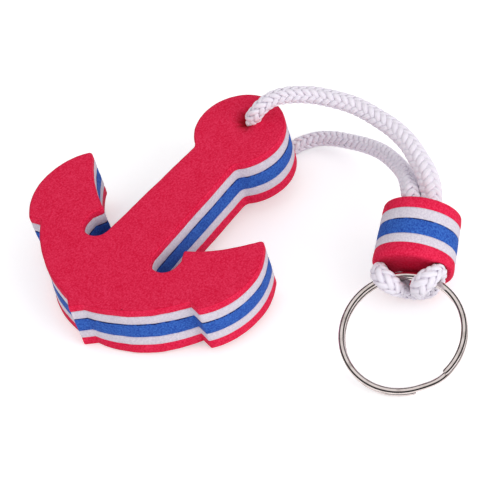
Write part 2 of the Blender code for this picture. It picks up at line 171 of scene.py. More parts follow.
class NodeGroups:
    """The effects that several materials share, each built once as a named group."""

    def __init__(self) -> None:
        """Builds all the groups."""
        self.foam = self._foam()
        self.seam = self._seam()
        self.fibre = self._fibre()
        self.plating = self._plating()

    @staticmethod
    def _open(name: str, inputs: Inputs, outputs: Sequence[str]) -> tuple[Graph, bpy.types.NodeOutputs]:
        """An empty group with its interface.

        Args:
            name: The group's name.
            inputs: The plain value of each input, four numbers for a colour.
            outputs: The name of each output.

        Returns:
            The group's graph and the sockets that its inputs come in by.
        """
        tree = bpy.data.node_groups.new(name, "ShaderNodeTree")
        number, colour = "NodeSocketFloat", "NodeSocketColor"
        for label, default in inputs.items():
            kind = colour if isinstance(default, tuple) else number
            tree.interface.new_socket(label, in_out="INPUT", socket_type=kind).default_value = default
        for label in outputs:
            kind = colour if label == "Color" else number
            tree.interface.new_socket(label, in_out="OUTPUT", socket_type=kind)
        graph = Graph(tree)
        return graph, graph.add("NodeGroupInput").outputs

    @staticmethod
    def _close(graph: Graph, outputs: Inputs) -> bpy.types.NodeTree:
        """Links the group's outputs and gives its tree."""
        graph.add("NodeGroupOutput", outputs)
        return graph.tree

    def _foam(self) -> bpy.types.NodeTree:
        """Closed-cell foam: skin mottling, fine cells and the height of both."""
        inputs = {"Light": (1, 1, 1, 1), "Dark": (0, 0, 0, 1), "Cell Scale": 1800.0, "Mottle": 0.5}
        graph, given = self._open("FoamCells", inputs, ("Color", "Height", "Roughness"))
        spot, scale = graph.spot(), given["Cell Scale"]
        cell_depth, blotch_share = 0.45, 0.3
        grain = graph.noise(spot, scale=scale, detail=2.0, roughness=0.55)
        at = {"Vector": spot, "Scale": scale}
        cells = graph.add("ShaderNodeTexVoronoi", at, feature="F1")
        blotch = graph.noise(spot, scale=260.0, detail=4.0)
        height = graph.math("MULTIPLY_ADD", cells.outputs["Distance"], cell_depth, grain)
        mottle = graph.math("MULTIPLY_ADD", blotch, blotch_share, height)
        spread = graph.between(mottle, low=0.62, high=1.08)
        amount = graph.math("MULTIPLY", spread, given["Mottle"])
        colour = graph.mix(amount, given["Light"], given["Dark"])
        rough = graph.between(grain, to_low=0.62, to_high=0.86)
        return self._close(graph, {"Color": colour, "Height": height, "Roughness": rough})

    def _seam(self) -> bpy.types.NodeTree:
        """A broken dark line where the blade tore the foam along a glue line: partly the glue joint's own
        darkness, partly painted shade in the torn groove.
        """
        graph, given = self._open("TornSeamShade", {"Amount": 0.5}, ("Mask",))
        breaks = graph.noise(graph.spot(), scale=620.0, detail=5.0, roughness=0.7)
        torn = graph.between(breaks, low=0.40, high=0.52)
        line = graph.math("MULTIPLY", graph.painted("seam"), torn)
        return self._close(graph, {"Mask": graph.math("MULTIPLY", line, given["Amount"])})

    def _fibre(self) -> bpy.types.NodeTree:
        """Filaments that run along a yarn, with the shade between them."""
        inputs = {"Light": (1, 1, 1, 1), "Shade": (0.5, 0.5, 0.5, 1), "Depth": 0.0, "Strands": 9.0}
        graph, given = self._open("YarnFilaments", inputs, ("Color", "Height"))
        lines_a_metre = 520.0
        parts = graph.add("ShaderNodeSeparateXYZ", {0: graph.run()}).outputs
        across = graph.math("MULTIPLY", parts["X"], given["Strands"])
        along = graph.math("MULTIPLY", parts["Y"], lines_a_metre)
        joined = graph.add("ShaderNodeCombineXYZ", {"X": across, "Y": along})
        lines = graph.noise(joined.outputs[0], scale=1.0, detail=3.0)
        shade = graph.between(lines, low=0.35, high=0.72, to_high=0.45)
        # Depth adds the painted shade that is stored on the mesh.
        total = graph.math("ADD", shade, given["Depth"], clamp=True)
        colour = graph.mix(total, given["Light"], given["Shade"])
        return self._close(graph, {"Color": colour, "Height": lines})

    def _plating(self) -> bpy.types.NodeTree:
        """Bright plating: drawn lines along the wire, small rub marks and a faint tarnish."""
        inputs = {"Bright": (0.7, 0.7, 0.7, 1), "Tarnish": (0.3, 0.3, 0.3, 1), "Smooth": 0.12}
        graph, given = self._open("PlatingWear", inputs, ("Color", "Roughness", "Height"))
        run, lines_each_way, worn_roughness = graph.run(), (26.0, 220.0, 1.0), 0.22
        stretch = graph.add("ShaderNodeMapping", {"Vector": run, "Scale": lines_each_way})
        drawn = graph.noise(stretch.outputs[0], scale=1.0, detail=4.0)
        patch = graph.noise(graph.spot(), scale=420.0, detail=5.0)
        worn = graph.between(patch, low=0.48, high=0.75)
        colour = graph.mix(worn, given["Bright"], given["Tarnish"])
        rough = graph.math("MULTIPLY_ADD", worn, worn_roughness, given["Smooth"])
        return self._close(graph, {"Color": colour, "Roughness": rough, "Height": drawn})


def blank_material(name: str) -> tuple[bpy.types.Material, Graph, bpy.types.Node]:
    """A new material with its graph and its Principled BSDF."""
    made = bpy.data.materials.new(name)
    made.use_nodes = True
    return made, Graph(made.node_tree), made.node_tree.nodes["Principled BSDF"]


@dataclass(frozen=True)
class FoamFinish:
    """One colour of foam sheet."""

    name: str
    light: Point
    dark: Point
    shaded: Point
    cut_face_lit: Point
    mottle: float = 0.9
    cell_scale: float = 2400.0
    bump: float = 0.5
    relief: float = 0.12 * MM
    shine: float = 0.13
    seam: float = 0.0

    def build(self, groups: NodeGroups) -> bpy.types.Material:
        """Makes the material.

        Args:
            groups: The shared node groups.

        Returns:
            The material.
        """
        made, graph, shader = blank_material(self.name)
        # Painted light: the cut side walls take a slightly lighter copy of the colour than the faces.
        light = graph.mix(graph.painted("cut"), self.light, self.cut_face_lit)
        inputs = {"Light": light, "Dark": self.dark, "Cell Scale": self.cell_scale, "Mottle": self.mottle}
        cells = graph.group(groups.foam, inputs)
        colour = cells["Color"]
        # The torn glue line mixes in the shaded colour: partly the joint's own darkness, partly painted shade
        # in its groove.
        if self.seam:
            torn = graph.group(groups.seam, {"Amount": self.seam})
            colour = graph.mix(torn["Mask"], colour, self.shaded)
        # Painted shade: the stored shade amount mixes in the shaded colour in creases, dents and along the
        # rolled rim.
        looks = {
            "Base Color": graph.mix(graph.painted("painted_shade"), colour, self.shaded),
            "Roughness": cells["Roughness"],
            "Normal": graph.bump(cells["Height"], self.bump, self.relief),
            "Specular IOR Level": self.shine,
        }
        graph.fill(shader, looks)
        return made


@dataclass(frozen=True)
class CordFinish:
    """White plaited yarn."""

    name: str = "cord_yarn"
    light: Point = (0.83, 0.785, 0.86)
    shade: Point = (0.66, 0.595, 0.71)
    bump: float = 0.5
    relief: float = 0.08 * MM
    glow_depth: Point = (0.6 * MM, 0.5 * MM, 0.5 * MM)

    def build(self, groups: NodeGroups) -> bpy.types.Material:
        """Makes the material.

        Args:
            groups: The shared node groups.

        Returns:
            The material.
        """
        made, graph, shader = blank_material(self.name)
        # Painted shade stored on the yarns darkens them towards the shade colour.
        inputs = {"Light": self.light, "Shade": self.shade, "Depth": graph.painted("painted_shade")}
        yarn = graph.group(groups.fibre, inputs)
        looks = {
            "Base Color": yarn["Color"],
            "Normal": graph.bump(yarn["Height"], self.bump, self.relief),
            "Roughness": 0.6,
            "Specular IOR Level": 0.35,
            "Sheen Weight": 0.25,
            "Subsurface Weight": 0.12,
            "Subsurface Radius": self.glow_depth,
            "Subsurface Scale": 1.0,
        }
        graph.fill(shader, looks)
        return made


@dataclass(frozen=True)
class MetalFinish:
    """Plated wire."""

    name: str = "ring_plating"
    bright: Point = (0.72, 0.64, 0.62)
    tarnish: Point = (0.50, 0.43, 0.41)
    smooth: float = 0.07
    bump: float = 0.05
    relief: float = 0.02 * MM

    def build(self, groups: NodeGroups) -> bpy.types.Material:
        """Makes the material.

        Args:
            groups: The shared node groups.

        Returns:
            The material.
        """
        made, graph, shader = blank_material(self.name)
        inputs = {"Bright": self.bright, "Tarnish": self.tarnish, "Smooth": self.smooth}
        wear = graph.group(groups.plating, inputs)
        looks = {
            "Base Color": wear["Color"],
            "Roughness": wear["Roughness"],
            "Normal": graph.bump(wear["Height"], self.bump, self.relief),
            "Metallic": 1.0,
        }
        graph.fill(shader, looks)
        return made


@dataclass(frozen=True)
class Finishes:
    """Every finish of the object, ready to assign."""

    foam: dict[Slot, bpy.types.Material]
    cord: bpy.types.Material
    ring: bpy.types.Material

    @classmethod
    def build(cls) -> "Finishes":
        """Builds the node groups once and every material from them."""
        groups = NodeGroups()
        foam = {
            Slot.RED: FoamFinish(
                "foam_red_cells",
                light=(0.75, 0.029, 0.093),
                dark=(0.61, 0.0, 0.034),
                shaded=(0.33, 0.0, 0.010),
                cut_face_lit=(0.78, 0.030, 0.097),
            ),
            Slot.WHITE: FoamFinish(
                "foam_white_cells",
                light=(0.70, 0.65, 0.73),
                dark=(0.56, 0.51, 0.60),
                shaded=(0.34, 0.28, 0.42),
                cut_face_lit=(0.71, 0.66, 0.73),
                seam=0.3,
            ),
            Slot.BLUE: FoamFinish(
                "foam_blue_cells",
                light=(0.040, 0.150, 0.54),
                dark=(0.012, 0.052, 0.32),
                shaded=(0.008, 0.010, 0.07),
                cut_face_lit=(0.044, 0.155, 0.54),
                seam=0.95,
            ),
        }
        made = {slot: finish.build(groups) for slot, finish in foam.items()}
        return cls(made, CordFinish().build(groups), MetalFinish().build(groups))


# Mesh helpers


def mesh_object(
    name: str,
    points: np.ndarray | Sequence[Point],
    faces: Sequence[Sequence[int]],
    material: bpy.types.Material,
    smooth: bool = True,
    sharp: float | None = None,
) -> bpy.types.Object:
    """A mesh object with outward faces.

    Args:
        name: The piece's name.
        points: Its vertices, in metres.
        faces: Indices of each face's vertices.
        material: Its finish.
        smooth: Whether it is shaded smooth.
        sharp: The angle in degrees above which an edge stays sharp.

    Returns:
        The new object, in the scene.
    """
    mesh = bpy.data.meshes.new(name)
    mesh.from_pydata([tuple(map(float, p)) for p in points], [], [tuple(map(int, f)) for f in faces])
    form = bmesh.new()
    form.from_mesh(mesh)
    bmesh.ops.recalc_face_normals(form, faces=form.faces)
    form.to_mesh(mesh)
    form.free()
    if smooth:
        mesh.shade_smooth()
    if sharp is not None:
        mesh.set_sharp_from_angle(angle=math.radians(sharp))
    mesh.materials.append(material)
    made = bpy.data.objects.new(name, mesh)
    bpy.context.scene.collection.objects.link(made)
    return made


def paint(mesh: bpy.types.Mesh, name: str, values: np.ndarray) -> None:
    """Stores one number for each vertex as a named attribute."""
    layer = mesh.attributes.new(name, "FLOAT", "POINT")
    layer.data.foreach_set("value", np.asarray(values, dtype=np.float32))


def unwrap(mesh: bpy.types.Mesh, coordinates: np.ndarray) -> None:
    """Stores vertex coordinates as the map that runs across and along a yarn or wire."""
    layer = mesh.uv_layers.new(name="yarn")
    corners = np.empty(len(mesh.loops), dtype=np.int32)
    mesh.loops.foreach_get("vertex_index", corners)
    layer.data.foreach_set("uv", np.asarray(coordinates, dtype=np.float32)[corners].ravel())


def carried(path: np.ndarray) -> tuple[np.ndarray, np.ndarray, np.ndarray]:
    """Frames carried along a path without twist.

    Args:
        path: Its points, one row each.

    Returns:
        Unit tangents, sideways and upward vectors, one row a point.
    """
    tangent = np.gradient(path, axis=0)
    tangent /= np.linalg.norm(tangent, axis=1)[:, None]
    side = np.empty_like(path)
    start = np.cross(tangent[0], (0.3, 0.2, 1.0))
    side[0] = start / np.linalg.norm(start)
    for i in range(1, len(path)):
        moved = side[i - 1] - tangent[i] * (side[i - 1] @ tangent[i])
        side[i] = moved / np.linalg.norm(moved)
    return tangent, side, np.cross(tangent, side)


def band(first: Sequence[int], second: Sequence[int]) -> list[tuple[int, ...]]:
    """Faces between two closed rims, given by the indices of their points."""
    count = len(first)
    return [(first[j], first[(j + 1) % count], second[(j + 1) % count], second[j]) for j in range(count)]


def tube_faces(rings: int, around: int, first: int = 0) -> list[tuple[int, ...]]:
    """Faces of a closed tube of rings, with a face over each end."""
    rims = [range(first + i * around, first + (i + 1) * around) for i in range(rings)]
    faces = [face for a, b in zip(rims, rims[1:]) for face in band(a, b)]
    return faces + [tuple(reversed(rims[0])), tuple(rims[-1])]


def moved(points: np.ndarray, where: Matrix) -> np.ndarray:
    """The points, one row each, carried by a frame."""
    turn = np.array(where)
    return points @ turn[:3, :3].T + turn[:3, 3]


def wobble(points: np.ndarray, pitch: float, seed: float) -> np.ndarray:
    """A slow smooth variation from -1 to 1 over space, the same on every run.

    Args:
        points: Where it is read, one row each.
        pitch: About how far apart its swells lie.
        seed: Which variation it is.

    Returns:
        One value for each point.
    """
    scaled = points / pitch + seed
    waves = (
        np.sin(scaled[:, 0] * 1.7 + 1.3 * np.sin(scaled[:, 1] * 1.1))
        + np.sin(scaled[:, 1] * 2.3 + 1.7 * np.sin(scaled[:, 2] * 1.9 + seed))
        + np.sin(scaled[:, 2] * 2.9 + 1.1 * np.sin(scaled[:, 0] * 1.3 + seed))
    )
    return waves / 3


# Sizes that the pieces share


@dataclass(frozen=True)
class Stack:
    """The foam sheets, from the bottom or from the ring's side."""

    sheet: float = 2.85 * MM
    glue: float = 0.20 * MM
    slots: tuple[Slot, ...] = (Slot.RED, Slot.WHITE, Slot.BLUE, Slot.WHITE, Slot.RED)
    nick: float = 0.12 * MM
    torn: Flat = (0.24 * MM, 0.16 * MM)

    @property
    def pitch(self) -> float:
        """From one sheet's face to the next sheet's, on average."""
        return self.sheet + self.glue

    @property
    def height(self) -> float:
        """Over all the sheets."""
        return len(self.slots) * self.pitch - self.glue


@dataclass(frozen=True)
class Placing:
    """Where the anchor, the bead and the ring lie."""

    anchor: Flat = (-23.7 * MM, -35.8 * MM)
    anchor_tilt: float = math.radians(4.5)
    bead: Flat = (33.5 * MM, 18.4 * MM)
    bead_yaw: float = math.radians(25.8)
    bead_pitch: float = math.radians(18.0)
    bead_front_radius: float = 9.55 * MM
    hitch: Point = (1.05 * MM, -2.3 * MM, 2.55 * MM)
    ring_radius: float = 14.9 * MM
    wire_width: float = 1.5 * MM
    wire_height: float = 1.2 * MM
    coil_gap: float = 0.1 * MM

    def anchor_frame(self) -> Matrix:
        """The anchor's outline frame, its bottom face at z = 0."""
        return Matrix.Translation((*self.anchor, 0.0)) @ Matrix.Rotation(self.anchor_tilt, 4, "X")

    def bead_frame(self) -> Matrix:
        """The middle of the bead's ring-side face, +Y back through the bead."""
        height = self.bead_front_radius * math.cos(self.bead_pitch)
        return (
            Matrix.Translation((*self.bead, height))
            @ Matrix.Rotation(self.bead_yaw, 4, "Z")
            @ Matrix.Rotation(self.bead_pitch, 4, "X")
        )

    def hitch_frame(self) -> Matrix:
        """The ring wire's middle where the cord is hitched, along the bead's axes."""
        return self.bead_frame() @ Matrix.Translation(self.hitch)

    def ring_frame(self) -> Matrix:
        """The ring's middle, its far side on the surface."""
        reach = 2 * self.ring_radius - self.wire_width / 2
        half_stack = self.wire_height + self.coil_gap / 2
        height = self.hitch_frame().translation.z
        tilt = math.asin(height / math.hypot(reach, half_stack)) - math.atan2(half_stack, reach)
        mean = self.ring_radius - self.wire_width / 2
        return (
            self.hitch_frame()
            @ Matrix.Rotation(tilt - self.bead_pitch, 4, "X")
            @ Matrix.Translation((0.0, -mean, 0.0))
        )


STACK = Stack()
PLACING = Placing()


# Cord route

SQUEEZE = 0.82

UPPER_STRAND = (
    (-21.4, 29.6, 22.6, 0.92),
    (-20.3, 31.2, 24.4, 0.94),
    (-19.2, 33.4, 25.2, 0.96),
    (-17.6, 35.7, 25.4, 0.99),
    (-15.1, 38.3, 25.0, 1.02),
    (-12.0, 40.7, 24.3, 1.04),
    (-7.4, 43.0, 23.3, 1.06),
    (-2.3, 44.7, 22.2, 1.08),
    (3.9, 45.1, 21.0, 1.1),
    (9.1, 44.8, 20.1, 1.14),
    (14.3, 43.5, 19.1, 1.18),
    (18.4, 41.6, 18.1, 1.24),
    (22.4, 39.4, 17.0, 1.3),
    (25.5, 36.9, 15.6, 1.3),
)

LOWER_STRAND = (
    (22.2, 33.5, 14.5, 1.16),
    (19.0, 36.6, 13.6, 1.12),
    (14.7, 40.1, 12.2, 1.04),
    (9.4, 43.0, 10.6, 1.0),
    (3.2, 45.4, 8.8, 0.97),
    (-2.9, 46.6, 6.8, 0.95),
    (-8.6, 46.8, 5.1, 0.94),
    (-13.9, 46.4, 3.7, 0.94),
    (-18.0, 44.9, 2.8, 0.94),
    (-20.8, 41.7, 2.4, 0.94),
    (-22.0, 37.8, 2.35, 0.94),
    (-22.6, 34.2, 2.5, 0.94),
)

HITCH = (
    (1.2, 4.6, -2.65, 0.95),
    (1.3, 2.2, -2.85, SQUEEZE),
    (1.3, -0.1, -3.15, 0.92),
    (1.35, -2.1, -3.0, 0.95),
    (1.5, -2.95, -1.0, 0.9),
    (2.0, -3.3, 1.0, 1.0),
    (2.8, -3.25, 2.6, 1.16),
    (3.7, -2.5, 3.6, 1.2),
    (4.8, -1.45, 3.7, 1.16),
    (5.6, 0.0, 3.0, 0.94),
    (5.9, 1.5, 0.6, 0.88),
    (5.7, 1.4, -1.7, 0.8),
    (4.8, 0.5, -4.0, 0.8),
    (3.4, -0.5, -5.9, 0.8),
    (1.4, -1.0, -6.85, 0.8),
    (-3.8, -1.0, -6.85, 0.8),
    (-5.7, -0.5, -5.9, 0.8),
    (-7.0, 0.1, -3.9, 0.8),
    (-7.6, 0.8, -1.7, 0.8),
    (-7.8, 0.7, 0.6, 0.86),
    (-7.5, -0.9, 2.85, 0.92),
    (-6.7, -2.0, 3.6, 1.12),
    (-5.7, -2.8, 3.7, 1.19),
    (-4.5, -3.4, 2.9, 1.17),
    (-3.6, -3.6, 1.2, 1.0),
    (-3.1, -3.0, -0.9, 0.9),
    (-3.1, -2.1, -3.0, 0.95),
    (-3.2, -0.3, -3.15, 0.92),
    (-3.3, 2.2, -2.85, SQUEEZE),
    (-3.3, 4.6, -2.65, 0.95),
)


@dataclass
class CordRoute:
    """The cord's centreline from the middle of the anchor's hole, round the ring and back."""

    diameter: float = 4.0 * MM
    clearance: float = 0.35 * MM
    spacing: float = 4.5 * MM
    hole: Flat = (1.05 * MM, 66.85 * MM)
    hole_bend: float = 2.1 * MM
    bore_room: Point = (3.4 * MM, 1.6 * MM, 1.2 * MM)
    step: float = 0.3 * MM
    path: np.ndarray = field(init=False)
    share: np.ndarray = field(init=False)

    def __post_init__(self) -> None:
        """Reads the smooth route at even steps."""
        fine = self._smooth(self._given())
        gaps = np.linalg.norm(np.diff(fine[:, :3], axis=0), axis=1)
        along = np.concatenate([[0.0], np.cumsum(gaps)])
        count = int(round(along[-1] / self.step)) + 1
        even = np.linspace(0.0, along[-1], count)
        read = np.stack([np.interp(even, along, fine[:, k]) for k in range(4)], axis=1)
        self.path = read[:, :3]
        self.share = read[:, 3]

    @property
    def length(self) -> float:
        """The centreline's length."""
        return float(np.linalg.norm(np.diff(self.path, axis=0), axis=1).sum())

    @property
    def exit(self) -> Point:
        """The middle of the hole's mouth in the anchor's top face."""
        return tuple(PLACING.anchor_frame() @ Vector((*self.hole, STACK.height)))

    def _given(self) -> list[tuple[float, float, float, float]]:
        """The route's own points with the share of the cord's thickness at each."""

        def placed(where: Matrix, x: float, y: float, z: float, share: float = 1.0) -> tuple[float, ...]:
            """A point given in a frame, with its share."""
            return (*(where @ Vector((x, y, z))), share)

        anchor, bead, hitch = PLACING.anchor_frame(), PLACING.bead_frame(), PLACING.hitch_frame()
        meet, middle = 0.5 * self.clearance, STACK.height / 2
        up = [middle + meet, middle + 2 * STACK.pitch, STACK.height]
        down = [self.hole_bend, STACK.pitch, middle - meet]
        bore = (STACK.height, STACK.height * 0.75, STACK.height * 0.5)
        half = self.spacing / 2
        route = [placed(anchor, *self.hole, h) for h in up]
        route += [(x * MM, y * MM, z * MM, share) for x, y, z, share in UPPER_STRAND]
        route += [placed(bead, half, y, 0.0) for y in bore]
        route += [placed(hitch, x * MM, y * MM, z * MM, share) for x, y, z, share in HITCH]
        route += [placed(bead, -half, y, 0.0) for y in reversed(bore)]
        route += [(x * MM, y * MM, z * MM, share) for x, y, z, share in LOWER_STRAND]
        route += [placed(anchor, *self.hole, h) for h in down]
        return route

    @staticmethod
    def _smooth(points: Sequence[tuple[float, float, float, float]], fine: int = 24) -> np.ndarray:
        """A centripetal curve through the points, one row a point.

        Args:
            points: The points with their share of the cord's thickness.
            fine: Steps from each point to the next.

        Returns:
            The curve's points with their shares.
        """
        given = np.array(points)
        given = np.vstack([2 * given[0] - given[1], given, 2 * given[-1] - given[-2]])
        out = []
        for p0, p1, p2, p3 in zip(given, given[1:], given[2:], given[3:]):
            t1 = np.linalg.norm((p1 - p0)[:3]) ** 0.5
            t2 = t1 + np.linalg.norm((p2 - p1)[:3]) ** 0.5
            t3 = t2 + np.linalg.norm((p3 - p2)[:3]) ** 0.5
            t = np.linspace(t1, t2, fine, endpoint=False)[:, None]
            a1 = p0 * ((t1 - t) / t1) + p1 * (t / t1)
            a2 = p1 * ((t2 - t) / (t2 - t1)) + p2 * ((t - t1) / (t2 - t1))
            a3 = p2 * ((t3 - t) / (t3 - t2)) + p3 * ((t - t2) / (t3 - t2))
            b1 = a1 * ((t2 - t) / t2) + a2 * (t / t2)
            b2 = a2 * ((t3 - t) / (t3 - t1)) + a3 * ((t - t1) / (t3 - t1))
            out.append(b1 * ((t2 - t) / (t2 - t1)) + b2 * ((t - t1) / (t2 - t1)))
        return np.vstack(out + [given[-2][None]])

    def in_bore(self) -> np.ndarray:
        """Which places of the route lie inside the bead or in its bore's mouths."""
        local = moved(self.path, PLACING.bead_frame().inverted())
        wide, ahead, high = self.bore_room
        return (np.abs(local[:, 2]) < high) & (local[:, 1] > -ahead) & (np.abs(local[:, 0]) < wide)

    def pressed_out(self, points: np.ndarray, direction: Vector, room: float, reach: float) -> np.ndarray:
        """How far each point moves along a direction to leave the cord its room outside the bead's bore.

        Args:
            points: Points of a foam surface, one row each.
            direction: The way that the foam gives.
            room: Clear distance to the cord's centreline at full thickness.
            reach: How far round the cord the foam is drawn in.

        Returns:
            The distance for each point.
        """
        give, fading, slope, behind = 0.5, 2.5, 0.2, 1.6
        way = np.array(direction)
        out = np.zeros(len(points))
        kept = ~self.in_bore()
        for centre, share in zip(self.path[kept][::2], self.share[kept][::2]):
            offset = points - centre
            ahead = offset @ way
            away = np.linalg.norm(offset - ahead[:, None] * way, axis=1)
            radius = room * share
            deep = np.sqrt(np.maximum(radius**2 - away**2, 0.0)) - ahead
            soft = (radius - np.minimum(ahead, radius)) * np.exp(-(((away - radius) / reach) ** 2)) * give
            near = (ahead < radius) & (ahead > -radius * behind)
            round_it = np.where(away < radius + fading * reach, soft - np.abs(ahead) * slope, 0)
            push = np.where(away < radius, deep, round_it)
            out = np.maximum(out, np.where(near, push, 0.0))
        return np.maximum(out, 0.0)


@dataclass
class BraidedCord:
    """The cord as twelve plaited yarns round a core, each over two and under two of the other way."""

    route: CordRoute
    yarns_each_way: int = 6
    lay: float = 11.4 * MM
    yarn_width: float = 1.40 * MM
    yarn_thickness: float = 0.80 * MM
    sides: int = 8
    dive: float = 0.26 * MM
    swell: float = 1.06
    turn: float = math.radians(20)
    crossing: float = 1.6
    narrowing: float = 0.1
    core_depth: float = 0.85
    core_sides: int = 12

    def build(self, finishes: Finishes) -> bpy.types.Object:
        """Builds the yarns and their core as one mesh on the float.

        Args:
            finishes: The object's finishes.

        Returns:
            The cord.
        """
        path = self.route.path
        _, side, up = carried(path)
        radius = self.route.diameter / 2 * self.swell * self.route.share
        yarns = [self._yarn(k, radius, side, up) for k in range(2 * self.yarns_each_way)]
        verts, uvs, shades = (np.concatenate(part) for part in zip(*yarns))
        starts = range(0, len(verts), len(path) * self.sides)
        faces = [face for start in starts for face in tube_faces(len(path), self.sides, start)]
        made = mesh_object("cord_braid", verts, faces, finishes.cord)
        unwrap(made.data, uvs)
        paint(made.data, "painted_shade", shades)
        self._core(made, radius, side, up, finishes)
        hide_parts("cord")
        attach(made, Body.FLOAT.value)
        log.info("cord_braid: %.1f mm long", self.route.length / MM)
        return made

    def _yarn(self, k: int, radius: np.ndarray, side: np.ndarray, up: np.ndarray) -> tuple[np.ndarray, ...]:
        """One yarn of the braid.

        Args:
            k: Its number; odd ones wind one way and even ones the other.
            radius: The cord's radius at each place of the route.
            side: The sideways vectors along the route.
            up: The upward vectors along the route.

        Returns:
            Its points, their places across and along it, and how deep in shade they lie.
        """
        path, share = self.route.path, self.route.share
        along = np.arange(len(path)) * self.route.step
        way = 1 if k % 2 else -1
        start = 2 * math.pi * (k // 2) / self.yarns_each_way
        heading = way * 2 * math.pi * along / self.lay + start + self.turn
        lift = way * np.cos(heading * self.yarns_each_way / 2)
        lift = np.tanh(self.crossing * lift) / math.tanh(self.crossing)
        centre = radius - self.yarn_thickness / 2 * share - self.dive * (1 - lift)
        out = side * np.cos(heading)[:, None] + up * np.sin(heading)[:, None]
        spot = path + out * centre[:, None]
        run = np.gradient(spot, axis=0)
        run /= np.linalg.norm(run, axis=1)[:, None]
        across = np.cross(run, out)
        outward = np.cross(across, run)
        # Painted shade: darker on the side that faces the cord's middle, where the yarn dives under a crossing,
        # and at its edges.
        even, outer, over, edge = 0.32, 0.30, 0.22, 0.10
        rings, places, depth = [], [], []
        for angle in np.arange(self.sides) * 2 * math.pi / self.sides:
            c, s = math.cos(angle), math.sin(angle)
            wide = self.yarn_width / 2 * c * share * (1 - self.narrowing * (1 - lift))
            thick = self.yarn_thickness / 2 * s * share
            rings.append(spot + across * wide[:, None] + outward * thick[:, None])
            places.append(np.stack([np.full(len(path), c * 0.5 + 0.5 + k), along], axis=1))
            depth.append(np.clip(even - outer * s - over * lift + edge * abs(c), 0, 1))
        parts = (rings, places, depth)
        return tuple(np.stack(part, axis=1).reshape(-1, *part[0].shape[1:]) for part in parts)

    def _core(
        self, owner: bpy.types.Object, radius: np.ndarray, side: np.ndarray, up: np.ndarray, finishes: Finishes
    ) -> None:
        """Adds the core inside the yarns to the cord's mesh; it is painted wholly in the yarns' shade colour, a
        painted shade that shows in the gaps between them.

        Args:
            owner: The yarns.
            radius: The cord's radius along the route.
            side: Sideways vectors along it.
            up: Upward vectors along it.
            finishes: The object's finishes.
        """
        pick = slice(None, None, 3)
        path, fat = self.route.path[pick], (radius - self.yarn_thickness * self.core_depth)[pick, None]
        angles = np.arange(self.core_sides) * 2 * math.pi / self.core_sides
        rings = [path + (side[pick] * math.cos(a) + up[pick] * math.sin(a)) * fat for a in angles]
        verts = np.stack(rings, axis=1).reshape(-1, 3)
        core = mesh_object("cord_core", verts, tube_faces(len(path), self.core_sides), finishes.cord)
        # Painted shade: the core takes the full shade colour.
        paint(core.data, "painted_shade", np.ones(len(verts)))
        unwrap(core.data, np.zeros((len(verts), 2)))
        form = bmesh.new()
        form.from_mesh(owner.data)
        form.from_mesh(core.data)
        form.to_mesh(owner.data)
        form.free()
        bpy.data.objects.remove(core)


# Foam


def laminated(
    kind: str,
    names: Sequence[str],
    form: Callable[[str, int, bpy.types.Material], bpy.types.Object],
    finishes: Finishes,
) -> list[bpy.types.Object]:
    """Builds every sheet of a laminated piece on the float.

    Args:
        kind: What the sheets make up, the anchor or the bead.
        names: The sheets' own names, in the stack's order.
        form: Makes one sheet from its piece's name, its number and its material.
        finishes: The object's finishes.

    Returns:
        The sheets, in the same order.
    """
    made = []
    for i, (name, slot) in enumerate(zip(names, STACK.slots)):
        piece = form(f"foam_{kind}_{name}", i, finishes.foam[slot])
        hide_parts(f"{kind}_{name}")
        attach(piece, Body.FLOAT.value)
        made.append(piece)
        log.info("%s: %d faces", piece.name, len(piece.data.polygons))
    return made


def arc(centre: Flat, radius: float, start: float, end: float, step: float = math.radians(4)) -> list[Flat]:
    """Points along a round stretch, both ends included."""
    count = max(2, math.ceil(abs(end - start) / step) + 1)
    return [
        (centre[0] + radius * math.cos(a), centre[1] + radius * math.sin(a))
        for a in np.linspace(start, end, count)
    ]


def bowed(start: Flat, end: Flat, bow: float) -> list[Flat]:
    """Points along an arc that leaves the straight line to the right of its course by bow.

    Args:
        start: Where it starts.
        end: Where it ends.
        bow: How far it stands out in the middle; below zero it turns to the left.

    Returns:
        The points, both ends included.
    """
    a, b = Vector(start), Vector(end)
    half = (b - a).length / 2
    radius = (half * half + bow * bow) / (2 * bow)
    ahead = (b - a).normalized()
    right = Vector((ahead.y, -ahead.x))
    centre = (a + b) / 2 + right * (bow - radius)
    first, last = a - centre, b - centre
    from_angle = math.atan2(first.y, first.x)
    turn = first.angle_signed(last)
    return arc(tuple(centre), abs(radius), from_angle, from_angle - turn, math.radians(3))


def walked(points: Sequence[Flat], distance: float) -> tuple[np.ndarray, np.ndarray, int]:
    """A place along a run of points.

    Args:
        points: The run, from its start.
        distance: How far along it the place lies.

    Returns:
        The place, the unit course there, and the index of the first point after it.
    """
    run = np.array(points)
    gaps = np.linalg.norm(np.diff(run, axis=0), axis=1)
    along = np.concatenate([[0.0], np.cumsum(gaps)])
    i = int(np.searchsorted(along, distance))
    course = (run[i] - run[i - 1]) / gaps[i - 1]
    return run[i - 1] + course * (distance - along[i - 1]), course, i


